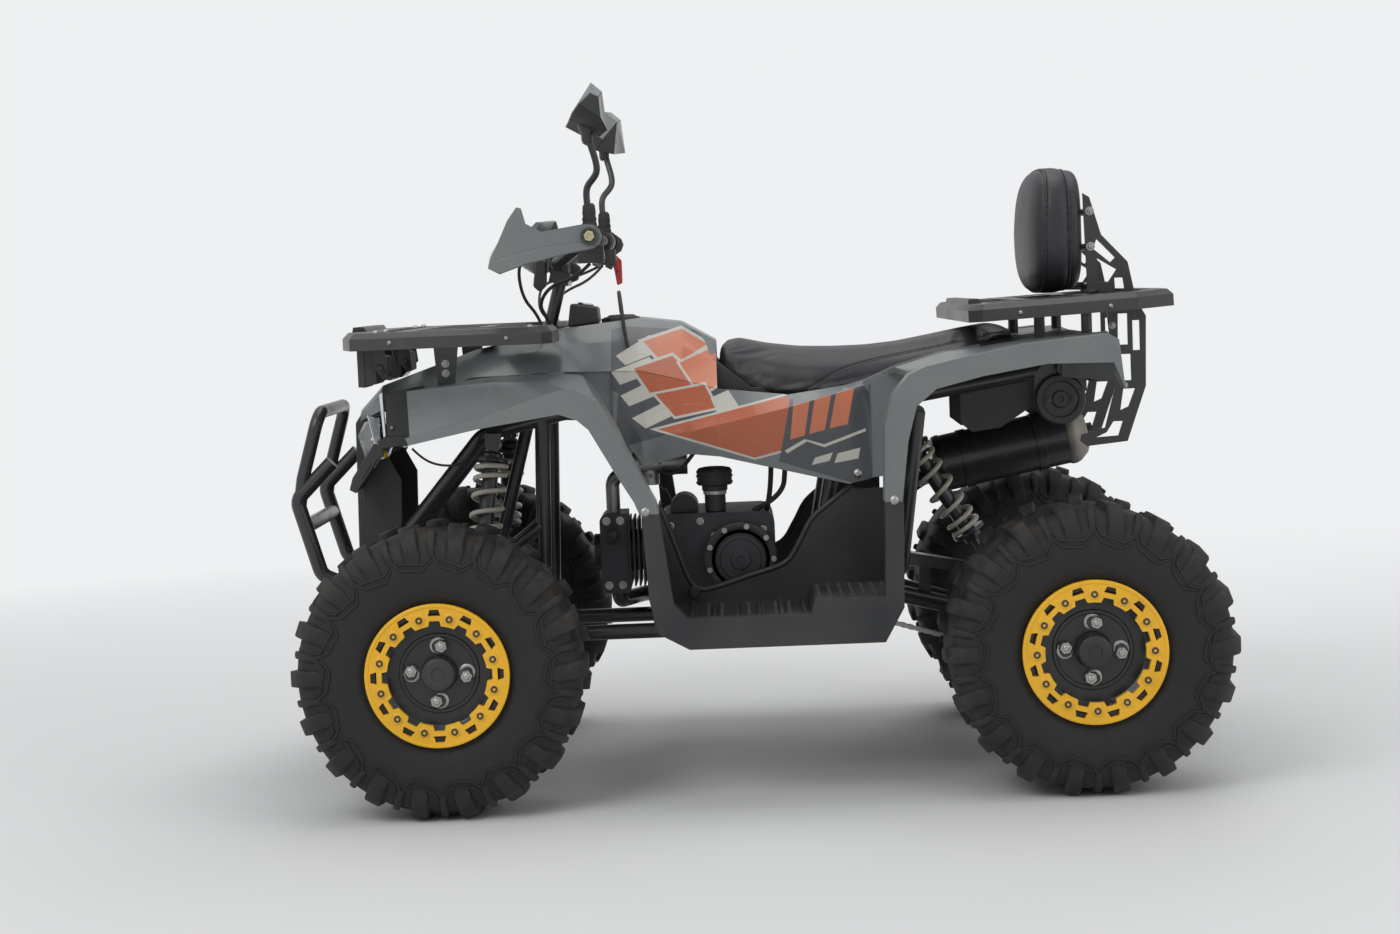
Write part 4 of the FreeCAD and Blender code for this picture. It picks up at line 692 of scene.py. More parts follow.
def lathe_y(name, profile):
    """A closed loop of (y, radius) pairs, turned round the Y axis."""
    rings = []
    for i in range(LATHE_STEPS):
        sine, cosine = math.sin(TURN * i / LATHE_STEPS), math.cos(TURN * i / LATHE_STEPS)
        rings.append([mm(r * sine, y, r * cosine) for y, r in profile])
    return skin(name, rings, loop=True, smooth=40)


def block_on_tyre(name, stations):
    """A tread block: stations are (y, base radius, top radius, half width, sweep) across the tread."""
    rings = []
    for y, base, top, half, sweep in stations:
        inset = min(3.0, half * 0.3)
        rings.append([mm(sweep - half, y, base), mm(sweep - half + inset, y, top),
                      mm(sweep + half - inset, y, top), mm(sweep + half, y, base)])
    return bevelled(skin(name, rings), 1.6, 2, 20)


def ridge_on_side(name, path, sidewall, width=5.2, height=2.6):
    """A raised line on the sidewall, whose (y, radius) pairs are given: path is (degrees, radius) pairs."""
    def wall(r):
        for (y0, r0), (y1, r1) in zip(sidewall, sidewall[1:]):
            if r0 <= r <= r1:
                return y0 + (y1 - y0) * (r - r0) / (r1 - r0)
        return sidewall[-1][0]

    section = ((-width / 2, -1.5), (-width / 2 + 1, height), (width / 2 - 1, height), (width / 2, -1.5))
    rings = []
    spots = [Vector((math.radians(a) * r, r)) for a, r in path]
    for i, (a, r) in enumerate(path):
        way = (spots[min(i + 1, len(spots) - 1)] - spots[max(i - 1, 0)]).normalized()
        across = Vector((-way.y, way.x))
        ring = []
        for offset, lift in section:
            angle = (math.radians(a) * r + across.x * offset) / r
            here = r + across.y * offset
            ring.append(mm(here * math.sin(angle), wall(here) + lift, here * math.cos(angle)))
        rings.append(ring)
    return skin(name, rings, smooth=30)


ZIGZAGS = [
    # degrees and radius of the raised lines that repeat round each sidewall
    [(-8.6, 205), (-6.2, 186), (6.2, 178), (11.4, 196)],
    [(-9.4, 192), (-5.8, 175), (5.0, 168), (9.6, 183)],
]


def tyre_piece(end, sign, side):
    """Carcass, lugs and raised lines. The lugs of one shoulder stand between those of the other."""
    (x, z), y, radius, half, inner = TYRES[end]
    centre = (x, sign * y, z)
    profile, sidewall = carcass(radius, half)
    tread = radius - TREAD_DEPTH
    lug = [(inner - 4, tread - 5, radius - 0.6, 11, -9), (inner + 16, tread - 5, radius, 14, -6),
           (half - 34, tread - 6, radius, 15.5, 0), (half - 24, tread - 12, radius - 3.5, 15.5, 1),
           (half - 9, tread - 26, radius - 16, 15, 2), (half - 0.6, tread - 34, radius - 30, 13, 3),
           (half - 0.2, tread - 48, radius - 42, 9, 3)]
    small = [(half - 34, tread - 6, radius - 5, 6.5, 0), (half - 24, tread - 12, radius - 8, 7.5, 0),
             (half - 11, tread - 24, radius - 19, 7.5, 0), (half - 3, tread - 36, radius - 31, 5.5, 0)]
    parts = [shifted(lathe_y("tyre_body", profile), centre)]
    for flip, half_turn in ((1, 0.0), (-1, 0.5)):
        units = [(block_on_tyre(name, [(flip * a, b, c, d, e) for a, b, c, d, e in stations]), shift)
                 for name, stations, shift in (("lug", lug, 0.0), ("small_lug", small, 0.5))]
        for path in ZIGZAGS:
            ridge = ridge_on_side("zigzag", path, sidewall)
            for vert in ridge.data.vertices:
                vert.co.y *= flip
            units.append((ridge, 0.0))
        for unit, shift in units:
            parts.append(ringed(faced_outwards(unit), LUG_PITCHES, half_turn + shift, centre, "tyre"))
    return joined("tyre_%s_%s_rubber" % (end, side), parts, 40)


def body_of_wheel(end, side):
    return "rear_axle" if end == "rear" else "wheel_front_" + side


WHEEL_FACES = {
    # end: y of the ring's face, y of the wheel disc, how far the hub cap stands out, phase of the bolts
    "front": (459.6, 427.3, 21, 0.5),
    "rear": (460.1, 427.8, 31, 0.0),
}
RING_BOLTS, RING_BOLT_RADIUS = 12, 91.9
WHEEL_NUTS, WHEEL_NUT_RADIUS = 4, 44
BOSS = [(-1, 9.6), (0.7, 9.3), (1.3, 8.4)]
RING_BOLT = [(0, 5.6), (2.6, 5.6), (3.1, 5), (3.1, 2.7), (1.4, 2.5)]
NUT_WASHER = [(0, 13.2), (1.4, 13.2), (1.8, 12.6)]
WHEEL_NUT = [(0, 11.2), (9.8, 11.2), (11.8, 9.4), (11.8, 6), (14, 5.6), (15, 4)]
VALVE = [(-6, 6), (3, 6), (6, 4), (17, 3.6), (17.5, 4.4), (24, 4.2), (25, 3)]
RING_EDGE = [(-1, 107.5), (0.9, 108.4), (1.5, 110), (1.5, 112), (0.7, 113.7), (-1, 114.3)]
DISC_RIB = [(-1, 56), (2, 58), (2.4, 60), (2, 63), (-1, 65)]


def wheel_details(end, sign, side):
    """Bosses, bolts and edge of the ring, nuts, hub cap and valve of one wheel."""
    x, z = TYRES[end][0]
    ring_y, disc_y, cap, phase = WHEEL_FACES[end]
    centre, way, body = (x, 0, z), (0, sign, 0), body_of_wheel(end, side)
    name_of = "%%s_%s_%s" % (end, side)
    units = [
        # name, finish, copies, phase, radius from the axle, y of the seat, profile, sides
        ("ring_boss", "bead_ring", RING_BOLTS, phase, RING_BOLT_RADIUS, ring_y, BOSS, 20),
        ("ring_bolt", "black_steel", RING_BOLTS, phase, RING_BOLT_RADIUS, ring_y + 1, RING_BOLT, 14),
        ("lug_washer", "bare_steel", WHEEL_NUTS, 0, WHEEL_NUT_RADIUS, disc_y, NUT_WASHER, 24),
        ("lug_nut", "bare_steel", WHEEL_NUTS, 0.08, WHEEL_NUT_RADIUS, disc_y + 1, WHEEL_NUT, 6),
        ("valve", "rubber", 1, 0.46, 88, disc_y + 4, VALVE, 12),
    ]
    for name, finish, count, turn, radius, y, profile, sides in units:
        unit = turned(name, (0, sign * y, radius), way, profile, sides)
        piece = ringed(unit, count, turn, centre, finish)
        piece.name = name_of % name
        dressed(piece, finish, body)
    for name, finish, y, profile in (("ring_edge", "bead_ring", ring_y, RING_EDGE),
                                     ("disc_rib", "rim", disc_y, DISC_RIB)):
        piece = lathe_y(name_of % name, [(sign * (y + out), radius) for out, radius in profile])
        dressed(shifted(piece, centre), finish, body)
    cup = [(cap - 3, 0), (cap - 3, 20), (1, 24), (1, 29.5), (cap * 0.45, 28.4), (cap - 2, 25.5), (cap, 22),
           (cap, 11), (cap - 1.6, 10), (cap - 1.6, 0)]
    dressed(turned(name_of % "hub_cap", (x, sign * disc_y, z), way, cup), "black_plastic", body)
    refined("rim_%s_%s" % (end, side), "rim", body, 1.2)


for end in TYRES:
    for sign, side in SIDES:
        body = body_of_wheel(end, side)
        dressed(tyre_piece(end, sign, side), "tyre", body, ["tyre_%s_%s" % (end, side)])
        refined("bead_ring_%s_%s" % (end, side), "bead_ring", body, 2.0, 3)
        wheel_details(end, sign, side)


# Springs and shock absorbers: top, bottom, and how far from the top the spring starts and ends
FRONT_SHOCK = ((-418, -160, 575), (-443, -200, 373), 30, 165)
REAR_SHOCK = ((282, 0, 560), (420, 0, 330), 34, 206)
COIL_RADIUS, WIRE_RADIUS, COIL_STEPS, END_CLOSENESS = 25, 4.3, 20, 0.45


def coil(name, top, bottom, start, end, turns):
    """A round wire wound between the two spring seats, closer at both ends."""
    top, bottom = mm(*top), mm(*bottom)
    way = (bottom - top).normalized()
    side = way.cross(Vector((0, 1, 0))).normalized()
    other = way.cross(side)
    start, end = start + WIRE_RADIUS, end - WIRE_RADIUS
    path = []
    for i in range(int(turns * COIL_STEPS) + 1):
        t = i / (turns * COIL_STEPS)
        along = start + (end - start) * (t - END_CLOSENESS * math.sin(TURN * t) / TURN)
        angle = TURN * turns * t
        out = (side * math.cos(angle) + other * math.sin(angle)) * COIL_RADIUS
        path.append(top + way * along / 1000 + out / 1000)
    return tube(name, path, WIRE_RADIUS, 10)


def damper_parts(name, top, bottom, start, end):
    """Upper and lower spring seat with their collars round a damper."""
    way = Vector(bottom) - Vector(top)
    high = [(start - 17, 15), (start - 14, 19), (start - 7, 19), (start - 7, 26), (start - 5, 29.5),
            (start, 29.6), (start + 0.2, 20), (start + 5, 19), (start + 5, 13.4)]
    low = [(end + 0.2, 17), (end + 0.3, 29.6), (end + 5, 29.5), (end + 8, 26), (end + 8, 18),
           (end + 20, 15)]
    return joined(name, [turned("seat", top, way, profile, 36) for profile in (high, low)])


piece = coil("front_coil", *FRONT_SHOCK, 5.5)
both("front_coil", piece, "spring")
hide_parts("front_springs")
both("front_spring_seats", damper_parts("seats", *FRONT_SHOCK), "black_steel", bevel=0.6)
dressed(coil("rear_coil", *REAR_SHOCK, 6.5), "spring", "chassis", ["spring_rear"])
dressed(bevelled(damper_parts("rear_spring_seats", *REAR_SHOCK), 0.6), "black_steel")


# Racks, bodywork and other moulded pieces taken over from the frame with soft edges
MOULDED = {
    # node: finish, body, edge radius
    "hood": ("livery", "chassis", 7.0),
    "side_panels": ("livery", "chassis", 1.6),
    "front_fenders": ("grey_plastic", "chassis", 3.0),
    "rear_fenders": ("grey_plastic", "chassis", 3.0),
    "front_rack": ("rack_plastic", "chassis", 3.0),
    "rear_rack": ("rack_plastic", "chassis", 3.0),
    "footwells": ("black_plastic", "chassis", 2.5),
    "tail_panel": ("black_plastic", "chassis", 2.0),
    "nose_cowl": ("black_plastic", "chassis", 3.0),
    "hand_guards": ("grey_plastic", "steering", 2.5),
    "backrest_bracket": ("black_steel", "chassis", 1.0),
    "engine": ("cast_alloy", "chassis", 1.2),
    "air_filter": ("black_plastic", "chassis", 2.0),
    "exhaust": ("black_steel", "chassis", 1.0),
}
for node, (finish, body, width) in MOULDED.items():
    refined(node, finish, body, width)

# Nodes whose own mesh is shown, with a better finish
CARRIED = {
    "black_steel": ["frame", "frame_rails_left", "frame_rails_right", "front_bumper", "front_shocks",
                    "handlebar", "knuckle_left", "knuckle_right", "shock_rear", "steering_column",
                    "swingarm", "wishbones"],
    "bare_steel": ["hub_front_left", "hub_front_right", "rear_axle", "tie_rod_left", "tie_rod_right"],
    "glass": ["headlamps"],
    "red_glass": ["tail_lamp"],
}
for finish, nodes in CARRIED.items():
    for node in nodes:
        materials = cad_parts[node].data.materials
        materials.clear()
        materials.append(FINISHES[finish])


# Seat and backrest pad: closed forms, blown up as cloth that is held along its seams
def at_x(table, x):
    """Values of a table of (x, values...) rows at x."""
    if x <= table[0][0]:
        return table[0][1:]
    for (x0, *first), (x1, *second) in zip(table, table[1:]):
        if x <= x1:
            t = (x - x0) / (x1 - x0)
            return [a + (b - a) * t for a, b in zip(first, second)]
    return table[-1][1:]


# The seat: (x, z) of its crown and underside, (x, half width), and (x, z) of the seam on its side
SEAT_TOP = [(-33, 706), (-31, 716), (-26, 727), (-14, 731), (0, 729), (49, 717), (105, 709), (162, 706.5),
            (220, 706.5), (277, 711), (334, 720), (392, 730), (437, 737), (452, 737), (463, 729),
            (470, 714)]
SEAT_LOW = [(-33, 692), (-25, 671), (-6, 655), (22, 643), (55, 636), (95, 634), (157, 639), (213, 647),
            (270, 662), (340, 688), (464, 706), (470, 708)]
SEAT_HALF = [(-33, 74), (-26, 90), (-6, 104), (55, 128), (130, 143), (226, 150), (346, 153), (430, 146),
             (462, 130), (470, 118)]
SEAT_SEAM = [(92, 636), (130, 655), (170, 676), (215, 689), (272, 700), (328, 708.7), (385, 719),
             (424, 727), (450, 728)]
SEAT_RIM, SEAT_HELD_FROM, SEAT_HELD_TO = 9, -22, 462
# Shares of the half width and of the height, from the middle of the underside outwards and up to the crown
SEAT_ROUND = [(0, 0), (0.72, 0), (0.9, 0.02), (0.97, 0.1), (1, 0.3), (0.985, 0.5), (0.94, 0.68),
              (0.85, 0.82), (0.7, 0.92), (0.5, 0.97), (0.25, 0.995), (0, 1)]


def seat_form():
    """The closed form of the seat, one ring across for each x."""
    rings = []
    for x in [-33, -31, -28, -23, -16, -6] + list(range(6, 450, 12)) + [452, 460, 466, 470]:
        top, low, half = at_x(SEAT_TOP, x)[0], at_x(SEAT_LOW, x)[0], at_x(SEAT_HALF, x)[0]
        right = [(half * u, low + (top - low) * v) for u, v in SEAT_ROUND]
        rings.append([mm(x, y, z) for y, z in right] + [mm(x, -y, z) for y, z in reversed(right[1:-1])])
    return skin("seat_cover", rings)


def seat_held(p):
    """How firmly the seat's cover is held: its rim and both ends for good, its top hardly."""
    rim = at_x(SEAT_LOW, p.x)[0] + SEAT_RIM
    return 1.0 if p.z < rim or p.x < SEAT_HELD_FROM or p.x > SEAT_HELD_TO else 0.03


# The pad: z of its middle, half width and half height, and (x, share of both) from the face to the back
PAD_MIDDLE, PAD_HALF = 897, (152, 107)
PAD_LEAN, PAD_FACE_TO, PAD_BACK_FROM, PAD_ROUNDING = 7.2, 540, 556, 0.6
PAD_SHAPE = [(492, 0.05), (492.6, 0.3), (494, 0.5), (496.5, 0.66), (500, 0.78), (505, 0.88), (511, 0.945),
             (518, 0.98), (528, 1), (546, 1), (554, 0.99), (558.5, 0.95), (562, 0.94), (566, 0.96),
             (574, 0.955), (579, 0.93), (582.5, 0.86)]


def pad_ring(x, share):
    """Rounded outline of the pad at x. The upper half of the face leans back."""
    steps, ring = 72, []
    for i in range(steps):
        c, s = math.cos(TURN * i / steps), math.sin(TURN * i / steps)
        y = PAD_HALF[0] * share * math.copysign(abs(c) ** PAD_ROUNDING, c)
        z = PAD_MIDDLE + PAD_HALF[1] * share * math.copysign(abs(s) ** PAD_ROUNDING, s)
        lean = PAD_LEAN * max(z - PAD_MIDDLE, 0) / PAD_HALF[1] if x < PAD_FACE_TO else 0
        ring.append(mm(x + lean, y, z))
    return ring


def pad_form():
    return skin("backrest_cover", [pad_ring(x, share) for x, share in PAD_SHAPE])


def pad_held(p):
    """How firmly the pad's cover is held: its back for good, its sides well, its face hardly."""
    outer = max(abs(p.y) / PAD_HALF[0], abs(p.z - PAD_MIDDLE) / PAD_HALF[1])
    if p.x > PAD_BACK_FROM:
        return 1.0
    return 0.75 if outer > 0.86 else 0.06


PADDING_GRAIN, PADDING_FRAMES = 5.0, 20
SEAM_WIDTH, STITCH_PITCH, STITCH_OFFSET, STITCH_LIFT = 3.2, 5.2, 3.4, 0.0002


def puffed(piece, held, cap, pressure):
    """Turns a closed form into padding: an even mesh, blown up as cloth, then smoothed.

    `held` gives how firmly a point is held, and no point moves further than the cap in millimetres.
    """
    remesh = piece.modifiers.new("grain", "REMESH")
    remesh.mode, remesh.voxel_size = "VOXEL", PADDING_GRAIN / 1000
    relax = piece.modifiers.new("relax", "SMOOTH")
    relax.factor, relax.iterations = 0.5, 5
    baked(piece)
    mesh = piece.data
    rest = [v.co.copy() for v in mesh.vertices]
    group = piece.vertex_groups.new(name="held")
    for vert in mesh.vertices:
        group.add([vert.index], held(vert.co * 1000), "REPLACE")
    cloth = piece.modifiers.new("padding", "CLOTH")
    cloth.settings.quality = 4
    cloth.settings.tension_stiffness = cloth.settings.compression_stiffness = 12
    cloth.settings.bending_stiffness = 0.6
    cloth.settings.use_pressure = True
    cloth.settings.uniform_pressure_force = pressure
    cloth.settings.vertex_group_mass = "held"
    cloth.settings.effector_weights.gravity = 0
    for number in range(1, PADDING_FRAMES + 1):
        bpy.context.scene.frame_set(number)
    depsgraph = bpy.context.evaluated_depsgraph_get()
    blown = piece.evaluated_get(depsgraph)
    moved = [v.co.copy() for v in blown.data.vertices]
    piece.modifiers.clear()
    for vert, start, end in zip(mesh.vertices, rest, moved):
        step = end - start
        vert.co = start + step * min(1, cap / 1000 / max(step.length, 1e-9))
    bpy.context.scene.frame_set(1)
    piece.modifiers.new("smooth", "SUBSURF").levels = 1
    piece.modifiers["smooth"].render_levels = 1
    baked(piece)
    piece.data.shade_smooth()
    return piece


def surface_of(piece):
    """A search tree of the piece's faces."""
    bm = bmesh.new()
    bm.from_mesh(piece.data)
    tree = BVHTree.FromBMesh(bm)
    bm.free()
    return tree


def sunk(piece, lines, depth):
    """Draws the surface in along seam lines, points in metres."""
    spots = [p for line in lines for p in line]
    tree = KDTree(len(spots))
    for number, spot in enumerate(spots):
        tree.insert(spot, number)
    tree.balance()
    normals = [v.normal.copy() for v in piece.data.vertices]
    for vert, normal in zip(piece.data.vertices, normals):
        gap = tree.find(vert.co)[2] * 1000
        if gap < SEAM_WIDTH * 2.5:
            vert.co -= normal * (depth / 1000) * math.exp(-(gap / SEAM_WIDTH) ** 2)


def stitched(name, tree, lines):
    """Two rows of thread beside each seam line on the surface."""
    spots = []
    for line in lines:
        total = 0
        for here, after in zip(line, line[1:]):
            way = after - here
            while total < way.length * 1000:
                point = here + way.normalized() * (total / 1000)
                for side in (-1, 1):
                    normal = tree.find_nearest(point)[1]
                    beside = point + normal.cross(way).normalized() * (side * STITCH_OFFSET / 1000)
                    near, normal = tree.find_nearest(beside)[:2]
                    near = (near + normal * STITCH_LIFT) * 1000
                    spots.append((tuple(near), tuple(way.normalized()), tuple(normal)))
                total += STITCH_PITCH
            total -= way.length * 1000
    arch = [mm(-1.9, 0, -0.3), mm(-1.2, 0, 0.25), mm(1.2, 0, 0.25), mm(1.9, 0, -0.3)]
    thread = tube("stitch", arch, 0.5, 6)
    dressed(scattered(name, thread, spots, "thread"), "thread")


def closed_seam(tree, ring):
    """The ring's points laid on the surface, and the first one again."""
    seam = [tree.find_nearest(p)[0] for p in ring]
    return seam + [seam[0]]


seat = puffed(seat_form(), seat_held, cap=7, pressure=4.0)
tree = surface_of(seat)
seams = []
for side in (-1, 1):
    line = []
    for p in flow([(x, 0, z) for x, z in SEAT_SEAM], 10):
        hit = tree.ray_cast(mm(p.x, side * 260, p.z), Vector((0, -side, 0)))[0]
        if hit is not None:
            line.append(hit)
    seams.append(line)
sunk(seat, seams, 1.6)
dressed(seat, "leather", "chassis", ["seat"])
stitched("seat_stitches", surface_of(seat), seams)

pad_cover = puffed(pad_form(), pad_held, cap=6, pressure=2.0)
tree = surface_of(pad_cover)
face_seam = closed_seam(tree, pad_ring(520, 0.97))
back_seam = closed_seam(tree, pad_ring(560, 0.94))
sunk(pad_cover, [face_seam, back_seam], 1.8)
dressed(pad_cover, "leather", "chassis", ["backrest_pad"])
stitched("pad_stitches", surface_of(pad_cover), [face_seam])
dressed(tube("pad_piping", face_seam + [face_seam[1]], 1.7, 8), "leather")
dressed(tube("pad_back_piping", back_seam + [back_seam[1]], 1.9, 8), "leather")


# Pieces that several places use
def cross_ring(x, low, high, inset=0, lean=0, upright=0):
    """A rectangle across the bike from its low to its high (y, z) corner, at x where z is `upright`."""
    (y0, z0), (y1, z1) = low, high
    y0, z0, y1, z1 = y0 + inset, z0 + inset, y1 - inset, z1 - inset
    return [mm(x - lean * (z - upright), y, z) for y, z in ((y0, z0), (y1, z0), (y1, z1), (y0, z1))]


def shell_over(name, piece, choose, depth, rim):
    """A thin closed plate that lies on the faces of the piece whose outward direction passes the test."""
    bm = bmesh.new()
    bm.from_mesh(piece.data)
    bm.normal_update()
    bmesh.ops.delete(bm, geom=[f for f in bm.faces if not choose(f.normal)], context="FACES")
    plate = made(name, bm, 30)
    thick = plate.modifiers.new("depth", "SOLIDIFY")
    thick.thickness, thick.offset, thick.use_even_offset = depth / 1000, 0.9, True
    return bevelled(baked(plate), rim)


def free_cord(name, diameter, body, far_end, stiffness, points):
    """A round cord along a smooth line of points in millimetres. It leaves the object at the first one."""
    curve = bpy.data.curves.new(name, "CURVE")
    curve.dimensions = "3D"
    curve.resolution_u = 10
    spline = curve.splines.new("NURBS")
    spline.points.add(len(points) - 1)
    for knot, place in zip(spline.points, points):
        knot.co = (*mm(*place), 1)
    spline.order_u = 3
    spline.use_endpoint_u = True
    cord = bpy.data.objects.new(name, curve)
    bpy.context.scene.collection.objects.link(cord)
    line = cord.to_mesh()
    cord.to_mesh_clear()
    curve.bevel_depth, curve.bevel_resolution, curve.use_fill_caps = diameter / 2000, 4, True
    dressed(cord, "rubber", body)
    tuple(mm(*points[0]))


# Handlebar: mirrors, bar ends, clamps and controls. All of it turns with the steering
BAR_X, BAR_Z, GRIP_END, GRIP_LENGTH = -228, 912, -370, 180.4
MIRROR_HEAD = [
    # y of the section, then x and z round the head
    (-224, [(-268, 1094), (-246, 1112), (-232, 1100), (-244, 1080)]),
    (-256, [(-262, 1098), (-226, 1150), (-206, 1132), (-214, 1074)]),
    (-330, [(-250, 1108), (-218, 1154), (-202, 1140), (-196, 1080)]),
    (-368, [(-236, 1120), (-218, 1136), (-206, 1130), (-204, 1098)]),
]
STEM_AT, CLAMP_FROM, CLAMP_TO = 135, 121, 149


def on_bar(inset):
    """A point of the bar, that far in from its left end."""
    t = inset / GRIP_LENGTH
    return (BAR_X - 10 * t, GRIP_END + 180 * t, BAR_Z + 4 * t)


def mirror_stem():
    """A collar round the bar, the bent stem and the joint under the mirror's head."""
    x, y, z = on_bar(STEM_AT)
    collar = [(0, 15), (0, 17.4), (1.5, 18.4), (26, 18.4), (28, 17.4), (28, 15)]
    along = Vector(on_bar(CLAMP_TO)) - Vector(on_bar(CLAMP_FROM))
    clamp = turned("clamp", on_bar(CLAMP_FROM), along, collar, 28)
    ball = [(0, 6.5), (5, 9), (16, 9.6), (24, 14), (38, 16), (44, 12)]
    ball = turned("ball", (BAR_X - 4, -268, 1064), (0.02, -0.05, 1), ball, 24)
    path = flow([mm(x, y, z + 30), mm(x - 2, y - 4, z + 76), mm(BAR_X + 9, -252, 1022),
                 mm(BAR_X - 1, -268, 1072)], 8)
    return joined("mirror_stem", [clamp, ball, tube("stem", path, 5.6, 14)])


pair_of("mirror_stems", mirror_stem(), "black_steel", "steering", ["mirrors"])
head = skin("mirror_head", [[mm(x, y, z) for x, z in spots] for y, spots in MIRROR_HEAD])
cover = shell_over("cover", head, lambda n: n.z > 0.3 or n.x < -0.8, 1.6, 0.6)
pair_of("mirror_covers", cover, "grey_plastic", "steering")
glass = shell_over("glass", head, lambda n: n.x > 0.9, 1.0, 0.3)
pair_of("mirror_glasses", glass, "mirror", "steering")
pair_of("mirror_heads", head, "black_plastic", "steering", bevel=1.6)
boot = [(14, 11.5), (20, 12.6), (24, 11), (28, 12.2), (33, 10.6), (38, 11.2), (50, 10.2), (54, 7), (54, 5)]
pair_of("mirror_boots", turned("boot", on_bar(STEM_AT), UPWARDS, boot, 24), "rubber", "steering")

end_cap = [(0, 14), (2.4, 14), (3.2, 13.2), (3.2, 10), (2.2, 9.6), (2.2, 7)]
end_bolt = [(0, 9), (3, 9), (4, 8), (4, 4), (2, 3.6)]
pair_of("bar_end_caps", turned("cap", (BAR_X, -392.8, BAR_Z), LEFTWARDS, end_cap), "cast_alloy", "steering")
pair_of("bar_end_bolts", turned("bolt", (BAR_X, -394, BAR_Z), LEFTWARDS, end_bolt, 6), "brass", "steering")
rib = [(0, 17), (0.8, 18.3), (2.4, 18.3), (3.2, 17)]
ribs = [turned("rib", on_bar(t), Vector(on_bar(t + 3)) - Vector(on_bar(t)), rib, 28)
        for t in range(8, 96, 6)]
pair_of("grip_ribs", joined("grip_ribs", ribs), "rubber", "steering")
for node, finish, width in (("grips", "rubber", 1.6), ("controls", "black_plastic", 2.2),
                            ("throttle_lever", "red_plastic", 2.6)):
    refined(node, finish, "steering", width)
knob = [(0, 6), (5, 7), (7, 11), (12, 12), (16, 10.5), (18, 6), (18.5, 0)]
dressed(turned("stop_knob", (-267, -211, 914), (-0.1, 0, 1), knob, 28), "red_plastic", "steering")
switches = [turned("knob", (-233, -204, 874), (0.9, 0, -0.5), [(0, 6), (12, 6), (13, 5)], 16)]
switches += [brick("rocker", (-226, y_from, 878), (-214, y_to, 890), 1)
             for y_from, y_to in ((-216, -206), (-202, -194))]
pair_of("switches", joined("switches", switches), "grey_cap", "steering", bevel=0.7)
clamp = [(-322, 866), (-318, 890), (-308, 896), (-294, 894), (-286, 884), (-286, 858), (-316, 852)]
clamps = [prism("bar_clamp", clamp, y - 11, y + 11) for y in (-26, 26)]
dressed(bevelled(joined("bar_clamps", clamps), 2.2), "black_steel", "steering")

STEERING_PLATES = [
    # name, finish, edge radius, y from and to, outline in X and Z
    ("throttle_pad", "red_plastic", 2.5, 216, 233, [(-226, 886), (-213, 889), (-210, 860), (-219, 858)]),
    ("switch_block", "black_plastic", 3, -74, -46,
     [(-346, 838), (-340, 880), (-332, 884), (-322, 880), (-324, 838), (-336, 828)]),
    ("lock_housing", "black_plastic", 3, 34, 62,
     [(-300, 838), (-276, 846), (-270, 868), (-282, 878), (-298, 872)]),
]
for name, finish, width, y_from, y_to, outline in STEERING_PLATES:
    dressed(bevelled(prism(name, outline, y_from, y_to), width), finish, "steering")

# Filler cap and dash
CAP_X, CAP_RADIUS, CAP_RIBS = -200, 33, 12
cap = [(0, 31), (3, 33), (10, 33), (13, 31), (14, 25), (15.5, 24), (17, 20), (17.5, 8)]
cap_parts = [turned("filler_cap", (CAP_X, 0, 766), UPWARDS, cap, 48)]
for number in range(CAP_RIBS):
    angle = TURN * number / CAP_RIBS
    spot = (CAP_X + CAP_RADIUS * math.cos(angle), CAP_RADIUS * math.sin(angle), 768)
    cap_parts.append(turned("cap_rib", spot, UPWARDS, [(0, 2.6), (8, 2.6), (9.5, 1.6)], 10))
dressed(joined("filler_cap", cap_parts), "black_plastic", "chassis", ["fuel_cap"])
refined("dash", "black_plastic", "chassis", 4)
DASH_FACE = (0.17, 0, 1)
key_ring = [(0, 14), (2.4, 14.5), (4, 13.5), (4, 10.5), (2, 10), (2, 0)]
dressed(turned("dash_ring", (-262, 0, 801.5), DASH_FACE, key_ring, 36), "chrome")
for name, y in (("dash_bezel", -26), ("dash_lens", 26)):
    disc = turned(name, (-262, y, 801), DASH_FACE, [(0, 9), (1.6, 9.4), (2.8, 8.6), (2.8, 0)], 28)
    dressed(disc, "black_steel")


# Working lamps under the front rack
LAMP_FROM, LAMP_TO = -196, -112


def working_lamp():
    """A square lamp on a bracket under the front rack, left side."""
    def boxed(name, bottom, stations):
        low, high = (LAMP_FROM, bottom), (LAMP_TO, 744)
        return skin(name, [cross_ring(x, low, high, inset) for x, inset in stations])

    housing = boxed("housing", 684, ((-622, 0), (-604, 2), (-592, 14)))
    bezel = boxed("bezel", 682, ((-622, -1), (-634, 0), (-634, 7), (-626, 9)))
    fin = [(-606, 690), (-586, 698), (-586, 730), (-606, 738)]
    fins = [prism("fin", fin, y, y + 2.5) for y in range(-186, -120, 9)]
    arm = [(-606, 712), (-596, 700), (-584, 712), (-588, 745), (-606, 745)]
    arms = [prism("arm", arm, y, y + 4) for y in (LAMP_FROM - 5, LAMP_TO + 1)]
    outer, inner = [(0, 0), (0, 5), (2.5, 6.5), (4, 6.5), (4, 0)], [(0, 6.5), (1.5, 6.5), (4, 5), (4, 0)]
    bolts = [turned("bolt", (-596, y, 713), (0, 1, 0), profile, 12)
             for y, profile in ((LAMP_FROM - 9, outer), (LAMP_TO + 5, inner))]
    return joined("spotlight", [housing, bezel] + arms + fins + bolts)


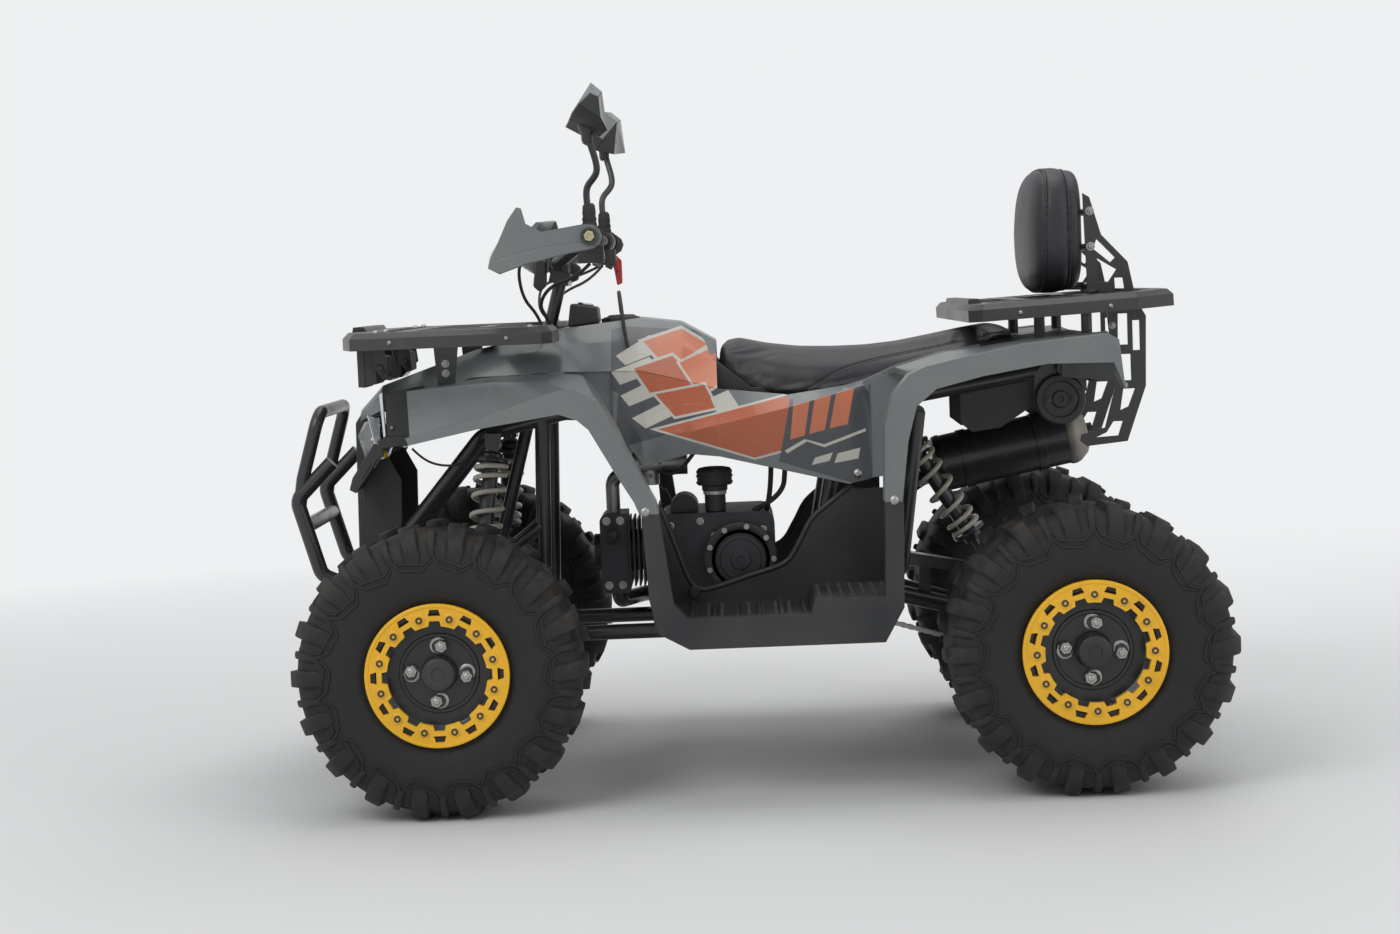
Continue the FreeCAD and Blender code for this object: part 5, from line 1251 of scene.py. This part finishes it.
pair_of("spotlight", working_lamp(), "black_steel", nodes=["spotlights"], bevel=0.8)
cup = [(0, 12.5), (0, 12), (6, 4), (6, 3.2), (4.5, 3.2), (4.5, 0)]
cups = [turned("cup", (-630.6, y, z), (1, 0, 0), cup, 16) for y in (-183, -154, -125) for z in (698, 727)]
both("spotlight_cups", joined("spotlight_cups", cups), "reflector")
pane = skin("spotlight_lens", [cross_ring(x, (-188, 689), (-120, 737)) for x in (-632.6, -631.2)])
both("spotlight_lens", pane, "glass")

# Front lamps: a panel with a silver edge, a bowl and a bulb
panel = prism("corner", [(-594, 668), (-549, 678), (-529, 680), (-528, 604), (-549, 594), (-594, 597)],
              -177.9, -104)
lip = [(-607, 590), (-594, 597), (-549, 596), (-526, 606), (-522, 598), (-545, 583), (-603, 577)]
lip = prism("lip", lip, -180, -105)
slant = prism("slant", [(-616, 586), (-600, 582), (-603, 566), (-650, 504), (-661, 510), (-655, 530)],
              -178, -165)
inner = prism("inner_slant", [(-610, 584), (-600, 582), (-610, 560), (-650, 506), (-656, 512), (-652, 530)],
              -166, -108)
louvres = [prism("louvre", [(x, z), (x + 18, z + 26), (x + 22, z + 26), (x + 5, z)], -179.4, -176)
           for x, z in ((-642, 528), (-631, 536), (-620, 545))]
pair_of("corner_panel", joined("corner_panel", [panel, lip, slant, inner] + louvres), "black_plastic",
        nodes=["nose_panels"], bevel=1.8)
amber = [(-4, 7), (3, 7), (5, 6), (8, 3), (9, 0)]
pair_of("side_lamps", turned("side_lamp", (-604, -160, 567), (-0.3, -1, 0.1), amber, 20), "bead_ring")
both("lamp_edge", prism("lamp_edge", [(-603, 668), (-597, 672), (-595, 598), (-599, 595)], -179.6, -171),
     "chrome", 1.0)
bowl = skin("bowl", [cross_ring(x, (-168, 556), (-106, 634), inset, 0.2, 590)
                     for x, inset in ((-618, 0), (-606, 4), (-596, 18), (-590, 26))])
both("lamp_bowl", bowl, "reflector", 1.5)
bulb = [(0, 9), (6, 9), (8, 6), (18, 5.5), (22, 3), (23, 0)]
both("lamp_bulb", turned("bulb", (-603, -137, 592), AHEAD, bulb, 20), "chrome")

# Footwells: rounded edge of the inner wall, studs of the floor and step
WALL_EDGE = [(-146, 462), (-135, 440), (-116, 384), (-97, 332), (-79, 318), (-55, 320), (5, 338), (64, 357),
             (90, 392), (112, 430), (146, 458), (180, 484)]
edge = tube("wall_edge", flow([mm(x, -161, z) for x, z in WALL_EDGE], 4), 5.2, 12)
pair_of("footwell_wall_edges", edge, "black_plastic")
stud = skin("stud", [[mm(c * r, s * r, z) for c, s in ((1, 1), (-1, 1), (-1, -1), (1, -1))]
                     for r, z in ((3.4, -0.5), (1.8, 2.2))])
spots = [((x, -y, z), (1, 0, 0), UPWARDS)
         for xs, z in ((range(-88, 92, 22), 296), (range(114, 226, 18), 322))
         for x in xs for y in range(200, 404, 22)]
dressed(scattered("footwell_studs", stud, on_both(spots), "black_plastic"), "black_plastic")
comb = [(102, 322), (106, 330)]
for x in range(110, 230, 8):
    comb += [(x, 330), (x + 4, 328)]
pair_of("step_comb", prism("comb", comb + [(232, 322)], -412, -404), "black_plastic", bevel=0.6)

# Engine: cover rims and bolts, domes, plug, gear lever and air filter
ENGINE_COVERS = [
    # x, z, side, y of the face, radius of the bolts
    (-10, 362, -1, 118, 56),
    (-60, 358, 1, 122, 61),
]
COVER_BOLTS = 9
for number, (x, z, side, y, radius) in enumerate(ENGINE_COVERS):
    rim = [(0, radius + 6.5), (2, radius + 6.5), (3, radius + 5), (3, radius - 5), (2, radius - 6.5),
           (0, radius - 6.5)]
    dressed(turned("cover_rim_%d" % number, (x, side * y, z), (0, side, 0), rim, 64), "cast_alloy")
    bolt = [(0, 5.4), (4.4, 5.4), (5, 4.8), (5, 2.8), (3, 2.5)]
    unit = turned("cover_bolt", (0, side * (y + 2), radius), (0, side, 0), bolt, 6)
    dressed(ringed(unit, COVER_BOLTS, 0.3, (x, 0, z), "bare_steel"), "bare_steel")
dome = [(0, 43), (1.5, 43.4), (5, 41), (5.5, 36), (9, 34), (9.5, 18), (12, 16), (12.5, 7), (10.5, 6.5)]
plug = [(0, 11), (6, 11), (8, 8), (20, 8), (22, 11), (40, 10), (46, 6)]
peg = [(0, 7)]
for along in range(2, 30, 4):
    peg += [(along, 9), (along + 2, 9), (along + 2.5, 7.6)]
filter_cap = [(0, 30.5), (4, 31), (9, 27), (11, 18), (11.5, 0)]
filter_clamp = [(0, 18.6), (0.4, 20.2), (6.6, 20.2), (7, 18.6)]
MUFFLER, MUFFLER_WAY = (345, 85, 493), (1, 0, 0.187)
end_bell = [(232, 50.4), (236, 52.2), (244, 52.4), (252, 49.5), (266, 38), (270, 30), (270, 19), (268, 16)]
cross_sleeve = [(0, 11.2), (0.6, 12.6), (249.4, 12.6), (250, 11.2)]
LATHED = [
    # name, finish, start, direction, profile, sides
    ("starter_cover", "cast_alloy", (-10, -126, 362), LEFTWARDS, dome, 48),
    ("clutch_cover", "cast_alloy", (-60, 128, 358), (0, 1, 0), dome, 48),
    ("plug_boot", "rubber", (-231, -49, 398), (0.1, -1, 0.25), plug, 20),
    ("gear_lever_rubber", "rubber", (-90, -160, 316), LEFTWARDS, peg + [(31, 7)], 16),
    ("filter_clamp", "bare_steel", (-50, -70, 470), UPWARDS, filter_clamp, 32),
    ("muffler_cap", "grey_cap", MUFFLER, MUFFLER_WAY, end_bell, 56),
    ("bumper_cross_sleeve", "bare_steel", (-744, -125, 448), (0, 1, 0), cross_sleeve, 28),
]
for name, finish, start, way, profile, sides in LATHED:
    dressed(turned(name, start, way, profile, sides), finish)
lever = [(20, -122, 306), (20, -146, 306), (-20, -150, 300), (-86, -152, 316), (-90, -186, 316)]
dressed(tube("gear_lever", flow([mm(*place) for place in lever], 5), 5, 12), "bare_steel")
band = [(0, 29), (1, 31.6), (4, 31.6), (5, 29)]
filter_rings = [turned("ring", (-50, -70, z), UPWARDS, band, 40) for z in (488, 499)]
filter_rings.append(turned("filter_cap", (-50, -70, 506), UPWARDS, filter_cap, 40))
dressed(joined("filter_rings", filter_rings), "black_plastic")
refined("carburettor", "light_alloy", "chassis", 1.2)
screws = [(place, (1, 0, 0), LEFTWARDS) for place in ((-176, -60, 527), (-144, -60, 527), (-160, -55, 504))]
dressed(scattered("carburettor_screws", button_head(3.4), screws, "brass"), "brass")

# Rear: muffler straps, tail drums, seat base and lamp rim
straps = [turned("strap", MUFFLER, MUFFLER_WAY, [(s, 50), (s, 52), (s + 16, 52), (s + 16, 50)], 56)
          for s in (44, 176)]
shoulder = [(-7, 20), (-6, 40), (-1, 49), (6, 51.4), (12, 51.4), (13, 50)]
straps.append(turned("shoulder", MUFFLER, MUFFLER_WAY, shoulder, 56))
dressed(bevelled(joined("muffler_straps", straps), 0.5), "black_steel")
drum = [(0, 43), (9, 43), (13, 40), (13, 31), (10, 29), (10, 15), (14, 13), (14, 5), (12, 4)]
pair_of("tail_drums", turned("drum", (539, -119, 612), LEFTWARDS, drum, 48), "black_plastic")
base = [(-52, 698), (-44, 704), (-26, 690), (20, 652), (330, 676), (440, 704), (440, 690), (330, 660),
        (20, 628), (-60, 650)]
dressed(bevelled(prism("seat_base", base, -118, 118), 2), "black_plastic")
dressed(bevelled(brick("tail_lamp_rim", (597.6, -55, 654), (604, 55, 708)), 2), "black_plastic")

# Flat plates that stand on both sides
SIDE_PLATES = [
    # name, finish, body, edge radius, y from and to on the left side, outline in X and Z
    ("nose_sides", "black_plastic", "chassis", 1.2, -107, -102.4,
     [(-640, 575), (-604, 560), (-583, 519), (-585, 448), (-592, 404), (-648, 400)]),
    ("rear_inner_guards", "black_plastic", "chassis", 1.2, -101, -97,
     [(372, 626), (420, 642), (486, 662), (498, 660), (498, 604), (478, 590), (440, 566), (392, 560),
      (372, 576)]),
    ("inner_cheeks", "grey_plastic", "chassis", 1, -168, -164,
     [(-322, 690), (-250, 694), (-206, 694), (-206, 640), (-176, 560), (-196, 540), (-226, 590),
      (-262, 634), (-290, 650)]),
    ("tail_cheeks", "grey_plastic", "chassis", 1, -186.5, -182.5,
     [(204, 660), (262, 684), (330, 702), (400, 712), (400, 698), (300, 682), (266, 640), (252, 560),
      (246, 500), (204, 496)]),
    ("guard_folds", "grey_plastic", "steering", 2.2, -390.5, -386,
     [(-390, 868), (-372, 858), (-330, 872), (-262, 886), (-226, 892), (-216, 897), (-240, 903),
      (-300, 898), (-345, 888), (-387, 878)]),
]
for name, finish, body, width, y_from, y_to, outline in SIDE_PLATES:
    pair_of(name, prism("plate", outline, y_from, y_to), finish, body, bevel=width)

# Screws and bolts that stand on both sides, and those of the engine's left face
FASTENERS = [
    # name, shape, its radius, finish, the way it faces, places on the left side
    ("head_bolts", hex_bolt, 5.5, "bare_steel", LEFTWARDS,
     [(x, -50, z) for x in (-216, -240) for z in (428, 316)]),
    ("tail_bolts", hex_bolt, 6, "black_steel", LEFTWARDS, [(517, -129, 612), (561, -129, 612)]),
    ("backrest_bolts", hex_bolt, 5.5, "bare_steel", LEFTWARDS, [(594, -147, 925), (594, -147, 866)]),
    ("bracket_bolts", hex_bolt, 4.5, "bare_steel", LEFTWARDS,
     [(626.5, -147, 733), (626.5, -147, 708), (644, -147, 632)]),
    ("rack_side_screws", button_head, 4.2, "bare_steel", LEFTWARDS,
     [(452, -329.5, 763), (596, -329.5, 768), (-560, -329.5, 756), (-372, -329.5, 756)]),
    ("rack_top_screws", button_head, 5, "bare_steel", UPWARDS,
     [(-585, -304, 772.6), (-335, -304, 772.6), (-585, -190, 772.6)]),
    ("rack_post_bolts", hex_bolt, 5, "bare_steel", LEFTWARDS, [(-486, -209, 716), (-486, -209, 700)]),
    ("panel_bolts", button_head, 7.5, "bare_steel", LEFTWARDS,
     [(-157, -440, 478), (233, -440, 481), (190, -189.5, 505)]),
    ("nose_screws", button_head, 4, "bare_steel", LEFTWARDS, [(-540, -177.9, 640), (-584, -177.9, 612)]),
]
for name, shape, radius, finish, up, places in FASTENERS:
    fastened(name, shape(radius), finish, up, places)
fastened("bar_clamp_bolts", hex_bolt(4.2), "bare_steel", (-0.15, 0, 1),
         [(x, y, 893.5) for y in (-32, -20) for x in (-314, -294)], "steering")
fastened("engine_bolts", hex_bolt(5), "bare_steel", LEFTWARDS,
         [(-77, -95, 426), (-53, -95, 400), (30, -95, 408), (-128, -95, 420), (34, -95, 306),
          (-130, -95, 306)],
         mirror=False)

# Cables, hoses and a lead
CORDS = [
    # name, diameter, body, what its far end is, stiffness, points from where it leaves the object
    ("brake_cable", 5.5, "steering", "object", "medium",
     [(-288, -232, 905), (-322, -216, 902), (-362, -176, 880), (-362, -120, 820), (-336, -88, 786),
      (-328, -72, 752)]),
    ("throttle_cable", 5, "steering", "object", "medium",
     [(-246, 222, 871), (-290, 214, 850), (-350, 170, 846), (-354, 110, 800), (-334, 84, 778),
      (-326, 70, 750)]),
    ("switch_cable", 6, "steering", "object", "medium",
     [(-240, -200, 871), (-262, -190, 850), (-312, -140, 838), (-338, -70, 806), (-326, -38, 782),
      (-318, -26, 752)]),
    ("starter_cable", 5, "steering", "object", "medium",
     [(-240, 196, 871), (-262, 186, 846), (-306, 130, 828), (-330, 60, 800), (-320, 34, 780),
      (-312, 24, 752)]),
    ("tank_vent_hose", 6.5, "chassis", "bare", "stiff",
     [(-200, -14, 786), (-202, -24, 814), (-200, -74, 826), (-194, -142, 800), (-189, -176, 758),
      (-184, -185, 730)]),
    ("lamp_lead", 4, "chassis", "object", "medium",
     [(-556, -150, 574), (-540, -152, 556), (-510, -154, 543), (-474, -154, 543), (-452, -150, 566),
      (-440, -146, 590)]),
    ("fuel_hose", 7, "chassis", "object", "medium",
     [(-140, -62, 512), (-118, -84, 500), (-70, -104, 560), (-40, -104, 606), (-30, -92, 634)]),
    ("breather_hose", 9, "chassis", "object", "medium",
     [(38, -72, 440), (44, -92, 468), (48, -100, 520), (50, -98, 580), (52, -84, 622)]),
    ("oil_hose", 9, "chassis", "object", "medium",
     [(14, -80, 440), (66, -96, 462), (72, -100, 520), (76, -98, 580), (78, -84, 622)]),
]
for cord in CORDS:
    free_cord(*cord)


# Chain links and the teeth of the rear sprocket
CHAIN_PITCH, CHAIN_Y, SPROCKET_TEETH = 14.2, -65.5, 36
FRONT_SPROCKET = (95, 318, 35.5)
REAR_SPROCKET = (*REAR_AXLE, 80.5)


def chain_line():
    """Middle of each link round both sprockets: place and direction."""
    (x0, z0, r0), (x1, z1, r1) = FRONT_SPROCKET, REAR_SPROCKET
    slope = math.atan2(z1 - z0, x1 - x0)
    spread = math.asin((r1 - r0) / math.hypot(x1 - x0, z1 - z0))
    up, down = slope + math.pi / 2 + spread, slope - math.pi / 2 - spread
    steps, line = 40, []
    for x, z, r, start, end in ((x1, z1, r1, up, down), (x0, z0, r0, down + TURN, up)):
        for i in range(steps + 1):
            angle = start + (end - start) * i / steps
            line.append(Vector((x + r * math.cos(angle), 0, z + r * math.sin(angle))))
    line.append(line[0])
    total = sum((b - a).length for a, b in zip(line, line[1:]))
    count = 2 * round(total / CHAIN_PITCH / 2)
    spots, left = [], 0.0
    for a, b in zip(line, line[1:]):
        way = b - a
        while left < way.length and len(spots) < count:
            spots.append((a + way.normalized() * left, way.normalized()))
            left += total / count
        left -= way.length
    return spots


def link(wide):
    """Two waisted side plates and a roller. Links alternate between inner and outer plates."""
    half = 4.6 if wide else 3.2
    outline = [(-9.6, 0), (-8.6, 3), (-6, 4.4), (0, 3.2), (6, 4.4), (8.6, 3), (9.6, 0), (8.6, -3),
               (6, -4.4), (0, -3.2), (-6, -4.4), (-8.6, -3)]
    parts = [prism("plate", outline, y, y + 1.2) for y in (-half - 1.2, half)]
    if wide:
        pin = [(0, 2.4), (2 * half + 3.6, 2.4)]
        parts += [turned("pin", (x, -half - 1.8, 0), (0, 1, 0), pin, 8) for x in (-6.6, 6.6)]
    parts.append(turned("roller", (0, -half, 0), (0, 1, 0), [(0, 3.4), (2 * half, 3.4)], 8))
    return joined("link", parts)


spots = [((p.x, CHAIN_Y, p.z), tuple(way), (-way.z, 0, way.x)) for p, way in chain_line()]
halves = [scattered("links", link(wide), spots[wide::2], "bare_steel") for wide in (0, 1)]
dressed(joined("chain_links", halves), "bare_steel", "chassis", ["chain"])
tooth = skin("tooth", [[mm(s * w, y, z) for s, y in ((-1, -69), (1, -69), (1, -62), (-1, -62))]
                       for w, z in ((3.4, 73), (1.2, 79))])
x, z = REAR_AXLE
dressed(ringed(tooth, SPROCKET_TEETH, 0, (x, 0, z), "bare_steel"), "bare_steel", "rear_axle")


# Studio: pale floor that fades into the backdrop, soft lamps, camera
BACKDROP = (0.86, 0.87, 0.88, 1)


def studio_floor():
    """Pale paint that keeps the shadow near the object and turns into the backdrop further out."""
    paint = Paint("studio_floor_paint", {"Specular IOR Level": 0.1})
    x, y, z = paint.axes()
    far = paint.span((x * x * 0.6 + y * y * 0.8).root(), 1.0, 3.2)
    tone = paint.mix(paint.noise(3, 2) * 0.05, (0.74, 0.745, 0.75, 1), (0.7, 0.7, 0.7, 1))
    paint.finish(tone, 0.9)
    glow = paint.node("ShaderNodeEmission", None, {"Color": BACKDROP, "Strength": 1.0})
    blend = paint.node("ShaderNodeMixShader", None, (far, Wire(paint, paint.shader.outputs[0]), glow))
    paint.tree.links.new(blend.socket, paint.tree.nodes["Material Output"].inputs["Surface"])
    return paint.material


floor = brick("studio_floor", (-30000, -20000, -20), (30000, 30000, 0))
floor.data.materials.append(studio_floor())

world = bpy.data.worlds.new("studio")
bpy.context.scene.world = world
world.use_nodes = True
sky = Graph(world.node_tree)
rays = sky.node("ShaderNodeLightPath")
camera_ray, glossy_ray, clear_ray = [Wire(sky, rays.socket.node.outputs[name]) for name in
                                     ("Is Camera Ray", "Is Glossy Ray", "Is Transmission Ray")]
direct = (camera_ray + glossy_ray * 0.5 + clear_ray).held()
background = world.node_tree.nodes["Background"]
world.node_tree.links.new((0.5 + direct * 0.5).socket, background.inputs["Strength"])
background.inputs["Color"].default_value = BACKDROP

LAMPS = [
    # name, place, target, size, power
    ("key", (-2.2, -3.0, 3.4), (0, 0, 0.5), 2.4, 70),
    ("fill", (3.2, -2.6, 2.0), (0.1, 0, 0.5), 2.6, 26),
    ("over", (0.2, 0.4, 3.6), (0, 0, 0.6), 2.8, 40),
    ("back", (1.0, 3.4, 2.2), (0, 0, 0.7), 2.2, 40),
]
for name, place, target, size, power in LAMPS:
    light = bpy.data.lights.new(name, "AREA")
    light.size, light.energy = size, power
    lamp = bpy.data.objects.new(name, light)
    bpy.context.scene.collection.objects.link(lamp)
    lamp.location = place
    lamp.visible_glossy = name != "back"
    lamp.rotation_euler = (Vector(target) - Vector(place)).to_track_quat("-Z", "Y").to_euler()

# Camera: its place, the directions of the picture's axes and the focal length, fitted to the photograph
CAMERA_PLACE = (-11.6, -4144.2, 826.5)
PICTURE_RIGHT = (0.99908, 0.01215, -0.04118)
PICTURE_DOWN = (-0.04013, -0.07624, -0.99628)
PICTURE_DEPTH = (-0.01524, 0.99702, -0.07568)
FOCAL_PIXELS, PICTURE_PIXELS, SENSOR = 2380, 1400, 36
camera = bpy.data.objects.new("camera", bpy.data.cameras.new("camera"))
bpy.context.scene.collection.objects.link(camera)
axes = Matrix([[a, -b, -c] for a, b, c in zip(PICTURE_RIGHT, PICTURE_DOWN, PICTURE_DEPTH)]).to_4x4()
camera.matrix_world = Matrix.Translation(mm(*CAMERA_PLACE)) @ axes
camera.data.sensor_width = SENSOR
camera.data.lens = SENSOR * FOCAL_PIXELS / PICTURE_PIXELS
camera.data.clip_end = 100
bpy.context.scene.camera = camera
bpy.context.scene.view_settings.view_transform = "Standard"
